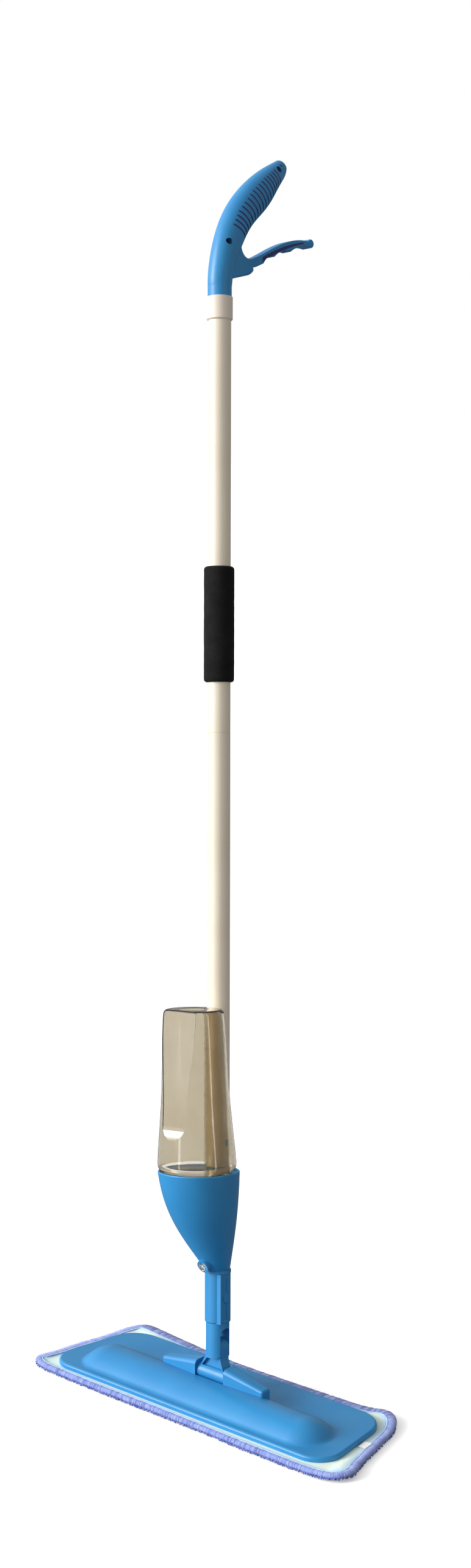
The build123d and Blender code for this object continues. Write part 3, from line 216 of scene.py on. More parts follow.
@dataclass(frozen=True)
class HandleShape:
    """The handle's place on the pole and the sizes of its grip and trigger, in millimetres."""

    at: Triple = (-103.797, 123.4, 1032.863)
    lean_back: float = 7.0
    lean_side: float = 6.0
    stations: tuple[tuple[float, float, float, float], ...] = (
        (12.7, 64.0, 26.0, 15.0), (24.0, 84.0, 36.0, 15.9), (41.8, 104.0, 44.0, 16.9),
        (60.8, 122.0, 46.0, 15.4), (76.8, 137.0, 45.5, 11.5),
    )
    # grooves get painted shade and bump; above the mesh's own grooves that paint alone draws them
    grooves: int = 17
    groove_from: float = 0.35
    groove_to: float = 3.85
    groove_half: float = 0.85
    groove_start: float = -0.68
    groove_soft: Pair = (0.25, 0.15)
    groove_run: float = 1.2
    # the trigger's pocket has no recess in the mesh; painted shade and bump draw it on the flat sides
    pivot: Pair = (25.0, 41.0)
    pocket_span: Pair = (30.5, 92.0)
    pocket_half: Pair = (2.4, 0.8)
    pocket_face: float = 6.0
    pocket_line: Pair = (0.515, -5.6)
    pocket_bow: Triple = (33.0, 59.4, -0.00273)
    pocket_edge: Pair = (-0.1, 0.3)
    pocket_soft: float = 0.2
    # screw holes and the tip's dimple get painted shade
    hole_soft: Pair = (0.05, 0.08)
    holes: tuple[Triple, ...] = ((2.0, 58.6, 3.0), (77.3, 142.2, 3.0), (82.0, 147.0, 0.9))

    def groove_places(self) -> list[tuple[float, float, float, float]]:
        """Works out where the grip has its grooves.

        Returns:
            The y, height, slope and half depth of the grip at each of them.
        """
        places = []
        for i in range(self.grooves):
            place = self.groove_from + (self.groove_to - self.groove_from) * i / (self.grooves - 1)
            index = int(place)
            pair = zip(self.stations[index], self.stations[index + 1])
            places.append(tuple(a + (b - a) * (place - index) for a, b in pair))
        return places

    def place(self, sheet: NodeSheet) -> Socket:
        """Lays the nodes that turn the frame's place into the handle's own.

        Args:
            sheet: the sheet to lay them on.

        Returns:
            The place in the handle's own frame, in millimetres.
        """
        back = Matrix.Rotation(math.radians(-self.lean_back), 3, "X")
        side = Matrix.Rotation(math.radians(-self.lean_side), 3, "Y")
        turn = (back @ side).to_euler("XYZ")
        inputs = {
            "Vector": sheet.place(),
            "Location": Vector(self.at) * MM,
            "Rotation": turn,
            "Scale": (MM, MM, MM),
        }
        return sheet.add("ShaderNodeMapping", inputs, vector_type="TEXTURE").outputs[0]


HANDLE = HandleShape()


class SharedEffects:
    """Shader groups for grain, scuffs, cloth loops, yarn and the masks for painted shade in the handle's
    recesses, each built once.
    """

    @classmethod
    def tree(cls, effect: Effect) -> Tree:
        """Gives the group of an effect, building it at its first use.

        Args:
            effect: which group.

        Returns:
            The group's node tree.
        """
        found = bpy.data.node_groups.get(effect.value)
        if found:
            return found
        tree = bpy.data.node_groups.new(effect.value, "ShaderNodeTree")
        builders = {
            Effect.MOULD_GRAIN: cls.mould_grain,
            Effect.SCUFFS: cls.scuffs,
            Effect.LOOPS: cls.loops,
            Effect.YARN: cls.yarn,
            Effect.GROOVES: cls.grooves,
            Effect.POCKET: cls.pocket,
        }
        builders[effect](tree)
        return tree

    @staticmethod
    def sockets(
        tree: Tree, inputs: dict[str, float], outputs: Sequence[str]
    ) -> tuple[NodeSheet, Node]:
        """Gives a group its named sockets.

        Args:
            tree: the group.
            inputs: its inputs with their usual values.
            outputs: names of its outputs.

        Returns:
            The sheet to lay nodes on and the group's input node.
        """
        for name, value in inputs.items():
            made = tree.interface.new_socket(name=name, in_out="INPUT", socket_type=FLOAT)
            made.default_value = value
        for name in outputs:
            tree.interface.new_socket(name=name, in_out="OUTPUT", socket_type=FLOAT)
        sheet = NodeSheet(tree)
        return sheet, sheet.add("NodeGroupInput")

    @classmethod
    def mould_grain(cls, tree: Tree) -> None:
        """Fine spark-eroded grain with slow clouds of tone.

        Args:
            tree: the group to lay it in.
        """
        sheet, given = cls.sockets(tree, {"Grain": 2200.0, "Cloud": 22.0}, ("Height", "Cloud"))
        place = sheet.place()
        fine = sheet.grain(place, given.outputs["Grain"], 2.0)
        broad = sheet.grain(place, given.outputs["Cloud"], 3.0)
        cloud = sheet.span(broad, 0.28, 0.72, 0.0, 1.0)
        sheet.add("NodeGroupOutput", {"Height": fine, "Cloud": cloud})

    @classmethod
    def scuffs(cls, tree: Tree) -> None:
        """Short handling scratches and soft rubbed patches.

        Args:
            tree: the group to lay it in.
        """
        sheet, given = cls.sockets(tree, {"Fineness": 260.0, "Amount": 0.5}, ("Scratch", "Rub"))
        place = sheet.place()
        turned = sheet.add("ShaderNodeMapping", {0: place, 2: (0.4, 0.7, 0.3), 3: (1.0, 0.09, 1.0)})
        lines = sheet.grain(turned.outputs[0], given.outputs["Fineness"], 1.0)
        rubbed = sheet.grain(place, 34.0, 3.0)
        edge = sheet.calc("SUBTRACT", 0.86, sheet.calc("MULTIPLY", given.outputs["Amount"], 0.22))
        scratch = sheet.span(lines, edge, 0.9, 0.0, 1.0)
        rub = sheet.span(rubbed, 0.5, 0.75, 0.0, 1.0)
        soft = sheet.calc("MULTIPLY", scratch, rub)
        sheet.add("NodeGroupOutput", {"Scratch": soft, "Rub": rub})

    @classmethod
    def loops(cls, tree: Tree) -> None:
        """Rounded cloth loops or foam cells with a tone of their own.

        Args:
            tree: the group to lay it in.
        """
        sheet, given = cls.sockets(tree, {"Loops": 900.0, "Cloud": 40.0}, ("Height", "Tone", "Cloud"))
        place = sheet.place()
        fine = given.outputs["Loops"]
        bent = sheet.add("ShaderNodeTexNoise", {"Vector": place, "Scale": fine, "Detail": 1.0})
        shift = sheet.add("ShaderNodeVectorMath", {0: bent.outputs[1], 3: 0.0005}, operation="SCALE")
        moved = sheet.add("ShaderNodeVectorMath", {0: place, 1: shift.outputs[0]}, operation="ADD")
        cells = sheet.add("ShaderNodeTexVoronoi", {"Vector": moved.outputs[0], "Scale": fine})
        height = sheet.span(cells.outputs["Distance"], 0.0, 0.75, 1.0, 0.0)
        tone = sheet.add("ShaderNodeSeparateColor", {0: cells.outputs["Color"]}).outputs[0]
        cloud = sheet.span(sheet.grain(place, given.outputs["Cloud"], 3.0), 0.3, 0.7, 0.0, 1.0)
        sheet.add("NodeGroupOutput", {"Height": height, "Tone": tone, "Cloud": cloud})

    @classmethod
    def yarn(cls, tree: Tree) -> None:
        """Twisted fibre of threads and tufts.

        Args:
            tree: the group to lay it in.
        """
        sheet, given = cls.sockets(tree, {"Fibre": 3200.0, "Cloud": 160.0}, ("Height", "Tone"))
        place = sheet.place()
        fibre = sheet.grain(place, given.outputs["Fibre"], 3.0)
        dyed = sheet.span(sheet.grain(place, given.outputs["Cloud"], 2.0), 0.3, 0.7, 0.0, 1.0)
        tone = sheet.calc("MULTIPLY_ADD", fibre, 0.5, sheet.calc("MULTIPLY", dyed, 0.5))
        sheet.add("NodeGroupOutput", {"Height": fibre, "Tone": tone})

    @classmethod
    def grooves(cls, tree: Tree) -> None:
        """Mask for painted shade in the finger grooves round the grip's side, each in a plane across the
        grip, and in the holes in it.

        Args:
            tree: the group to lay it in.
        """
        sheet, _ = cls.sockets(tree, {}, ("Recess",))
        place = HANDLE.place(sheet)
        wide = HANDLE.groove_half
        inner, outer = HANDLE.groove_soft
        recess: float | Socket = 0.0
        for y, rise, slope, depth in HANDLE.groove_places():
            lean = math.radians(slope)
            up, down = math.cos(lean), math.sin(lean)
            off = sheet.calc("SUBTRACT", sheet.dot(place, (0.0, down, up)), y * down + rise * up)
            line = sheet.span(sheet.calc("ABSOLUTE", off), wide - inner, wide + outer, 1.0, 0.0)
            start = y * up - rise * down + HANDLE.groove_start * depth
            across = sheet.dot(place, (0.0, up, -down))
            side = sheet.span(across, start, start + HANDLE.groove_run, 0.0, 1.0)
            recess = sheet.calc("MAXIMUM", recess, sheet.calc("MULTIPLY", line, side))
        # screw holes and the tip's dimple also get painted shade, so they look deep
        flat = sheet.add("ShaderNodeVectorMath", {0: place, 1: (0.0, 1.0, 1.0)}, operation="MULTIPLY")
        inner, outer = HANDLE.hole_soft
        for y, rise, radius in HANDLE.holes:
            ends = {0: flat.outputs[0], 1: (0.0, y, rise)}
            off = sheet.add("ShaderNodeVectorMath", ends, operation="DISTANCE").outputs["Value"]
            hole = sheet.span(off, radius - inner, radius + outer, 1.0, 0.0)
            recess = sheet.calc("MAXIMUM", recess, hole)
        sheet.add("NodeGroupOutput", {"Recess": recess})

    @classmethod
    def pocket(cls, tree: Tree) -> None:
        """Mask for the painted shade that draws the long pocket on each flat side of the trigger's blade.

        Args:
            tree: the group to lay it in.
        """
        sheet, _ = cls.sockets(tree, {}, ("Recess",))
        x, y, z = sheet.add("ShaderNodeSeparateXYZ", {0: HANDLE.place(sheet)}).outputs
        y = sheet.calc("SUBTRACT", y, HANDLE.pivot[0])
        z = sheet.calc("SUBTRACT", z, HANDLE.pivot[1])
        first, last = HANDLE.pocket_span
        low, high, curve = HANDLE.pocket_bow
        slope, rise = HANDLE.pocket_line
        bow = sheet.calc("MULTIPLY", sheet.calc("SUBTRACT", y, low), sheet.calc("SUBTRACT", y, high))
        middle = sheet.calc("MULTIPLY_ADD", y, slope, sheet.calc("MULTIPLY_ADD", bow, curve, rise))
        half = sheet.span(y, first, last, *HANDLE.pocket_half)
        off = sheet.calc("ABSOLUTE", sheet.calc("SUBTRACT", z, middle))
        across = sheet.span(sheet.calc("SUBTRACT", half, off), *HANDLE.pocket_edge, 0.0, 1.0)
        near_end = sheet.span(y, first - 1, first, 0.0, 1.0)
        far_end = sheet.span(y, last, last + 1, 1.0, 0.0)
        ends = sheet.calc("MULTIPLY", near_end, far_end)
        # only the flat side faces get the painted pocket shade; the mesh has no pocket there
        face, soft = HANDLE.pocket_face, HANDLE.pocket_soft
        side = sheet.span(sheet.calc("ABSOLUTE", x), face - soft, face + soft, 0.0, 1.0)
        recess = sheet.calc("MULTIPLY", across, sheet.calc("MULTIPLY", ends, side))
        sheet.add("NodeGroupOutput", {"Recess": recess})


@dataclass(frozen=True)
class Finish:
    """A surface finish with a name of its own."""

    name: str

    def make(self) -> bpy.types.Material:
        """Gives the finish as a material, painting it at its first use.

        Returns:
            The material.
        """
        found = bpy.data.materials.get(self.name)
        if found:
            return found
        material = bpy.data.materials.new(self.name)
        material.use_nodes = True
        material.node_tree.nodes.clear()
        self.paint(NodeSheet(material.node_tree))
        return material

    def paint(self, sheet: NodeSheet) -> None:
        """Lays the finish's nodes; each kind of finish has its own."""
        raise NotImplementedError


@dataclass(frozen=True)
class MouldedPlastic(Finish):
    """Injection-moulded plastic with grain, slow tone and light handling marks."""

    colour: Colour
    deep: Colour
    worn: Colour
    roughness: float = 0.42
    grain: float = 2200.0
    depth: float = 0.05
    coat: float = 0.0
    scuff: float = 0.5
    cloud: float = 24.0
    scratches: float = 300.0
    relief: float = 0.0004
    coat_roughness: float = 0.3
    index: float = 1.49

    def paint(self, sheet: NodeSheet) -> None:
        """Lays grain, clouds and scuffs on a satin surface.

        Args:
            sheet: the material's sheet.
        """
        mould = sheet.effect(Effect.MOULD_GRAIN, {"Grain": self.grain, "Cloud": self.cloud})
        marks = sheet.effect(Effect.SCUFFS, {"Fineness": self.scratches, "Amount": self.scuff})
        body = sheet.tint(mould.outputs["Cloud"], linear(self.deep), linear(self.colour))
        rubbed = sheet.calc("MULTIPLY", marks.outputs["Scratch"], 0.35)
        body = sheet.tint(rubbed, body, linear(self.worn))
        dull, sleek = self.roughness + 0.05, self.roughness - 0.04
        rough = sheet.span(mould.outputs["Cloud"], 0.0, 1.0, dull, sleek)
        rough = sheet.calc("MULTIPLY_ADD", marks.outputs["Rub"], 0.06, rough)
        height = sheet.calc("SUBTRACT", mould.outputs["Height"], marks.outputs["Scratch"])
        body, normal = self.recessed(sheet, body, sheet.bump(self.depth, self.relief, height))
        fixed = {"Coat Weight": self.coat, "Coat Roughness": self.coat_roughness, "IOR": self.index}
        sheet.surface(sheet.principled(body, rough, normal, fixed))

    def recessed(self, sheet: NodeSheet, body: Socket, normal: Socket) -> tuple[Socket, Socket]:
        """Gives the body's colour and normal as they are; a recessed finish paints shade into them and turns
        the normal at their edges.
        """
        return body, normal


@dataclass(frozen=True)
class RecessedPlastic(MouldedPlastic):
    """Moulded plastic with dark painted shade in its recesses."""

    recess: Effect = Effect.GROOVES
    # dark blue painted as the shade inside the grooves, the holes and the trigger's pocket
    recess_shade: Colour = (24, 32, 104)
    edge: Pair = (0.6, 0.0006)

    def recessed(self, sheet: NodeSheet, body: Socket, normal: Socket) -> tuple[Socket, Socket]:
        """Paints shade into the recesses and turns the normal at their edges.

        Args:
            sheet: the material's sheet.
            body: the plastic's colour.
            normal: its normal.

        Returns:
            The new colour and normal.
        """
        shade_mask = sheet.effect(self.recess, {}).outputs["Recess"]
        height = sheet.calc("SUBTRACT", 1.0, shade_mask)
        turned = sheet.bump(*self.edge, height, Normal=normal)
        # tints the recesses towards the painted shade colour
        return sheet.tint(shade_mask, body, linear(self.recess_shade)), turned


@dataclass(frozen=True)
class ClearPlastic(Finish):
    """Clear or smoked blow-moulded plastic that lets light through."""

    tint: Colour
    cloud: Colour
    roughness: float = 0.06
    index: float = 1.46
    ripple: Pair = (0.03, 0.001)

    def paint(self, sheet: NodeSheet) -> None:
        """Lays a tinted clear body with flow clouds and soft ripples.

        Args:
            sheet: the material's sheet.
        """
        mould = sheet.effect(Effect.MOULD_GRAIN, {"Grain": 120.0, "Cloud": 30.0})
        body = sheet.tint(mould.outputs["Cloud"], linear(self.cloud), linear(self.tint))
        rough = sheet.span(mould.outputs["Cloud"], 0.0, 1.0, self.roughness + 0.03, self.roughness)
        normal = sheet.bump(*self.ripple, mould.outputs["Height"])
        clear = sheet.principled(body, rough, normal, {"Transmission Weight": 1.0, "IOR": self.index})
        through = sheet.add("ShaderNodeBsdfTransparent", {0: body}).outputs[0]
        shadow = sheet.add("ShaderNodeLightPath").outputs["Is Shadow Ray"]
        lit = sheet.add("ShaderNodeMixShader", {0: shadow, 1: clear, 2: through})
        sheet.surface(lit.outputs[0])


@dataclass(frozen=True)
class BrightSteel(Finish):
    """Drawn steel wire and pins with fine lines."""

    colour: Colour
    roughness: float = 0.28
    stain: Colour = (150, 150, 152)
    lines: Pair = (0.1, 0.0002)

    def paint(self, sheet: NodeSheet) -> None:
        """Lays a metal with drawing lines and small stains.

        Args:
            sheet: the material's sheet.
        """
        marks = sheet.effect(Effect.SCUFFS, {"Fineness": 900.0, "Amount": 0.8})
        mould = sheet.effect(Effect.MOULD_GRAIN, {"Grain": 1600.0, "Cloud": 60.0})
        stained = sheet.tint(mould.outputs["Cloud"], linear(self.colour), linear(self.stain))
        sleek, dull = self.roughness - 0.08, self.roughness + 0.1
        rough = sheet.span(mould.outputs["Height"], 0.2, 0.8, sleek, dull)
        normal = sheet.bump(*self.lines, marks.outputs["Scratch"])
        sheet.surface(sheet.principled(stained, rough, normal, {"Metallic": 1.0}))


@dataclass(frozen=True)
class CellFoam(Finish):
    """Closed-cell foam or dull rubber with fine pores."""

    colour: Colour
    pore: Colour
    cells: float = 900.0
    depth: float = 0.4
    roughness: float = 0.85
    relief: float = 0.0006
    shine: float = 0.25

    def paint(self, sheet: NodeSheet) -> None:
        """Lays pores of uneven tone in a dull skin.

        Args:
            sheet: the material's sheet.
        """
        pores = sheet.effect(Effect.LOOPS, {"Loops": self.cells, "Cloud": 60.0})
        open_cells = sheet.span(pores.outputs["Tone"], 0.55, 0.95, 0.0, 1.0)
        skin = sheet.tint(open_cells, linear(self.colour), linear(self.pore))
        skin = sheet.tint(sheet.calc("MULTIPLY", pores.outputs["Cloud"], 0.3), skin, linear(self.pore))
        sleek, dull = self.roughness - 0.06, self.roughness + 0.06
        rough = sheet.span(pores.outputs["Cloud"], 0.0, 1.0, sleek, dull)
        height = sheet.calc("MULTIPLY", pores.outputs["Height"], open_cells)
        normal = sheet.bump(self.depth, self.relief, height)
        sheet.surface(sheet.principled(skin, rough, normal, {"Specular IOR Level": self.shine}))


@dataclass(frozen=True)
class LoopCloth(Finish):
    """Brushed loop cloth: small soft loops with a light sheen."""

    colour: Colour
    deep: Colour
    loops: float = 900.0
    depth: float = 0.5
    sheen: float = 0.3
    rim: Colour = (150, 170, 220)
    relief: float = 0.0008
    sheen_roughness: float = 0.5
    shine: float = 0.2

    def paint(self, sheet: NodeSheet) -> None:
        """Lays loops of uneven tone, with painted shade towards each loop's edge, over slow shade, tinted
        where the cloth nears its rim.

        Args:
            sheet: the material's sheet.
        """
        knit = sheet.effect(Effect.LOOPS, {"Loops": self.loops, "Cloud": 45.0})
        # each loop is lighter at its middle and darker towards its edge: painted shade between loops, mixed
        # with random tone
        toned = sheet.calc("MULTIPLY", knit.outputs["Tone"], 0.45)
        share = sheet.calc("MULTIPLY_ADD", knit.outputs["Height"], 0.55, toned)
        cloth = sheet.tint(share, linear(self.deep), linear(self.colour))
        worn = sheet.calc("MULTIPLY", knit.outputs["Cloud"], 0.25)
        cloth = sheet.tint(worn, cloth, linear(self.deep))
        near = sheet.add("ShaderNodeAttribute", attribute_name="near_rim").outputs["Fac"]
        cloth = sheet.tint(near, cloth, linear(self.rim))
        rough = sheet.span(knit.outputs["Tone"], 0.0, 1.0, 0.82, 0.96)
        normal = sheet.bump(self.depth, self.relief, knit.outputs["Height"])
        fixed = {"Sheen Weight": self.sheen, "Sheen Roughness": self.sheen_roughness}
        fixed["Specular IOR Level"] = self.shine
        sheet.surface(sheet.principled(cloth, rough, normal, fixed))


@dataclass(frozen=True)
class TwistedYarn(Finish):
    """Sewing thread, pile yarn or ribbon with fibres and uneven dye."""

    colour: Colour
    deep: Colour
    fibre: float = 3200.0
    sheen: float = 0.35
    roughness: float = 0.78
    twist: Pair = (0.3, 0.0003)
    shine: float = 0.25

    def paint(self, sheet: NodeSheet) -> None:
        """Lays fibres between the deep and the light dye.

        Args:
            sheet: the material's sheet.
        """
        yarn = sheet.effect(Effect.YARN, {"Fibre": self.fibre, "Cloud": 170.0})
        share = sheet.span(yarn.outputs["Tone"], 0.25, 0.75, 0.0, 1.0)
        dyed = sheet.tint(share, linear(self.deep), linear(self.colour))
        sleek, dull = self.roughness - 0.08, self.roughness + 0.1
        rough = sheet.span(yarn.outputs["Height"], 0.2, 0.8, sleek, dull)
        normal = sheet.bump(*self.twist, yarn.outputs["Height"])
        fixed = {"Sheen Weight": self.sheen, "Specular IOR Level": self.shine}
        sheet.surface(sheet.principled(dyed, rough, normal, fixed))


@dataclass(frozen=True)
class PaleFloor(Finish):
    """Matt pale studio floor."""

    colour: Colour
    bounce: Colour = (120, 122, 124)
    glow: float = 0.38
    cloud: Colour = (246, 247, 248)

    def paint(self, sheet: NodeSheet) -> None:
        """Lays a matt floor that looks white and throws little light back up.

        Args:
            sheet: the material's sheet.
        """
        mould = sheet.effect(Effect.MOULD_GRAIN, {"Grain": 300.0, "Cloud": 1.5})
        share = sheet.calc("MULTIPLY", mould.outputs["Cloud"], 0.3)
        pale = sheet.tint(share, linear(self.colour), linear(self.cloud))
        seen = sheet.add("ShaderNodeBsdfDiffuse", {0: pale})
        glow = sheet.add("ShaderNodeEmission", {0: pale, 1: self.glow})
        bright = sheet.add("ShaderNodeAddShader", {0: seen.outputs[0], 1: glow.outputs[0]})
        dull = sheet.add("ShaderNodeBsdfDiffuse", {0: linear(self.bounce)})
        rays = sheet.add("ShaderNodeLightPath").outputs
        viewed = sheet.calc("MAXIMUM", rays["Is Camera Ray"], rays["Is Transmission Ray"])
        floor = sheet.add("ShaderNodeMixShader", {0: viewed, 1: dull.outputs[0], 2: bright.outputs[0]})
        sheet.surface(floor.outputs[0])


SKY_BLUE = MouldedPlastic("sky_blue_plastic", (42, 133, 189), (34, 125, 183), (140, 190, 228), 0.4)
CREAM_TUBE = MouldedPlastic(
    "cream_enamel", (228, 217, 198), (222, 210, 190), (250, 246, 238), 0.38, 900.0, 0.06, 0.1, 0.3
)
WHITE_PLASTIC = MouldedPlastic("pale_moulding", (226, 214, 199), (220, 207, 191), (248, 244, 237), 0.4)
HOOK_TAPE = MouldedPlastic("hook_tape", (214, 222, 220), (190, 200, 200), (240, 244, 244), 0.5, 700.0, 0.6)
SMOKED = ClearPlastic("smoked_clear", (214, 208, 194), (207, 200, 184))
NOZZLE_CLEAR = ClearPlastic("nozzle_clear", (248, 250, 250), (240, 244, 245), 0.34)
HOSE_CLEAR = ClearPlastic("hose_clear", (232, 236, 232), (222, 228, 222), 0.15)
STEEL = BrightSteel("bright_steel", (205, 206, 208))
SEAL_RUBBER = CellFoam("dull_rubber", (30, 30, 32), (18, 18, 20), 1500.0, 0.15, 0.6)
GRIP_FOAM = CellFoam("grip_foam", (15, 15, 16), (5, 5, 6), 1100.0, 0.5, 0.9)
SOLE_FOAM = CellFoam("sole_foam", (94, 97, 102), (70, 72, 78), 800.0, 0.5, 0.9)
MINT_LOOPS = LoopCloth("mint_loops", (228, 242, 230), (212, 232, 220), 1700.0, 0.2, 0.25, (170, 206, 238))
VIOLET_PILE = LoopCloth("violet_pile", (138, 156, 214), (84, 104, 186), 520.0, 0.8, 0.4)
VIOLET_BAND = TwistedYarn("violet_band", (146, 162, 222), (118, 136, 208))
VIOLET_THREAD = TwistedYarn("violet_thread", (176, 190, 232), (144, 160, 220))
PALE_THREAD = TwistedYarn("pale_thread", (190, 216, 242), (156, 188, 232))
VIOLET_TUFT = TwistedYarn("violet_tuft", (126, 142, 214), (70, 86, 172), 2400.0, 0.45)
TAG_RIBBON = TwistedYarn("tag_ribbon", (248, 248, 246), (232, 234, 234), 4200.0, 0.2, 0.6)

HANDLE_TONES = (SKY_BLUE.colour, SKY_BLUE.deep, SKY_BLUE.worn, SKY_BLUE.roughness)
# blue with painted shade in the grip's grooves and holes and on the trigger's drawn pocket
GRIP_BLUE = RecessedPlastic("grooved_blue", *HANDLE_TONES)
TRIGGER_BLUE = RecessedPlastic("pocketed_blue", *HANDLE_TONES, recess=Effect.POCKET)

NODE_FINISH: dict[str, Finish] = {
    "handle_left": GRIP_BLUE,
    "handle_right": GRIP_BLUE,
    "trigger": TRIGGER_BLUE,
}
SLOT_FINISH: dict[str, Finish] = {
    "blue_plastic": SKY_BLUE,
    "steel": STEEL,
    "hooks": HOOK_TAPE,
    "cream_tube": CREAM_TUBE,
    "white_plastic": WHITE_PLASTIC,
    "seal_rubber": SEAL_RUBBER,
    "clear_hose": HOSE_CLEAR,
    "clear_nozzle": NOZZLE_CLEAR,
    "smoke_clear": SMOKED,
}


class MeshMaker:
    """Meshes of rings and lines, placed at the origin with their place in the mesh."""

    @staticmethod
    def piece(
        name: str,
        points: Sequence[Vector],
        faces: Sequence[Sequence[int]],
        edges: Sequence[Sequence[int]] = (),
    ) -> Piece:
        """Makes a smooth-shaded mesh object.

        Args:
            name: the piece's name.
            points: its points in metres.
            faces: its faces as point numbers.
            edges: loose edges as point numbers.

        Returns:
            The linked object.
        """
        mesh = bpy.data.meshes.new(name)
        mesh.from_pydata([tuple(p) for p in points], list(edges), list(faces))
        mesh.polygons.foreach_set("use_smooth", [True] * len(mesh.polygons))
        mesh.update()
        made = bpy.data.objects.new(name, mesh)
        bpy.context.scene.collection.objects.link(made)
        return made

    @classmethod
    def lofted(
        cls,
        name: str,
        rings: Sequence[Sequence[Vector]],
        ring_closed: bool = False,
        capped: bool = True,
    ) -> Piece:
        """Joins rings of equal count by quads.

        Args:
            name: the piece's name.
            rings: rings of points, each counterclockwise, from the bottom's middle out and up to the top's.
            ring_closed: whether the last ring joins the first again.
            capped: whether the first and last rings get a face.

        Returns:
            The linked object.
        """
        count = len(rings[0])
        points = [p for ring in rings for p in ring]
        faces: list[list[int]] = []
        for k in range(len(rings) if ring_closed else len(rings) - 1):
            low, high = k * count, (k + 1) % len(rings) * count
            for i in range(count):
                j = (i + 1) % count
                faces.append([low + i, low + j, high + j, high + i])
        if capped and not ring_closed:
            faces += cls.cap(0, count, True)
            faces += cls.cap((len(rings) - 1) * count, count, False)
        return cls.piece(name, points, faces)

    @staticmethod
    def cap(start: int, count: int, under: bool) -> list[list[int]]:
        """Closes a ring with a strip of faces.

        Args:
            start: number of the ring's first point.
            count: points in the ring.
            under: whether the cap faces down.

        Returns:
            The strip's faces.
        """
        strip: list[list[int]] = []
        for i in range((count - 1) // 2):
            face = [i, i + 1, count - 2 - i, count - 1 - i]
            corners = [start + k for k in dict.fromkeys(face)]
            strip.append(corners[::-1] if under else corners)
        return strip

    @classmethod
    def thread(cls, name: str, path: Sequence[Vector], radii: Sequence[float], sides: int) -> Piece:
        """Makes a short tube along a path with a radius at each of its points.

        Args:
            name: the piece's name.
            path: the points of its middle line.
            radii: its radius at each point.
            sides: sides of the tube.

        Returns:
            The linked object.
        """
        rings: list[list[Vector]] = []
        for k, middle in enumerate(path):
            ahead = (path[min(k + 1, len(path) - 1)] - path[max(k - 1, 0)]).normalized()
            across = ahead.cross(Vector((0.0, 1.0, 0.02))).normalized()
            other = ahead.cross(across)
            turns = [2 * math.pi * s / sides for s in range(sides)]
            around = [math.cos(a) * across + math.sin(a) * other for a in turns]
            rings.append([middle + radii[k] * way for way in around])
        return cls.lofted(name, rings)


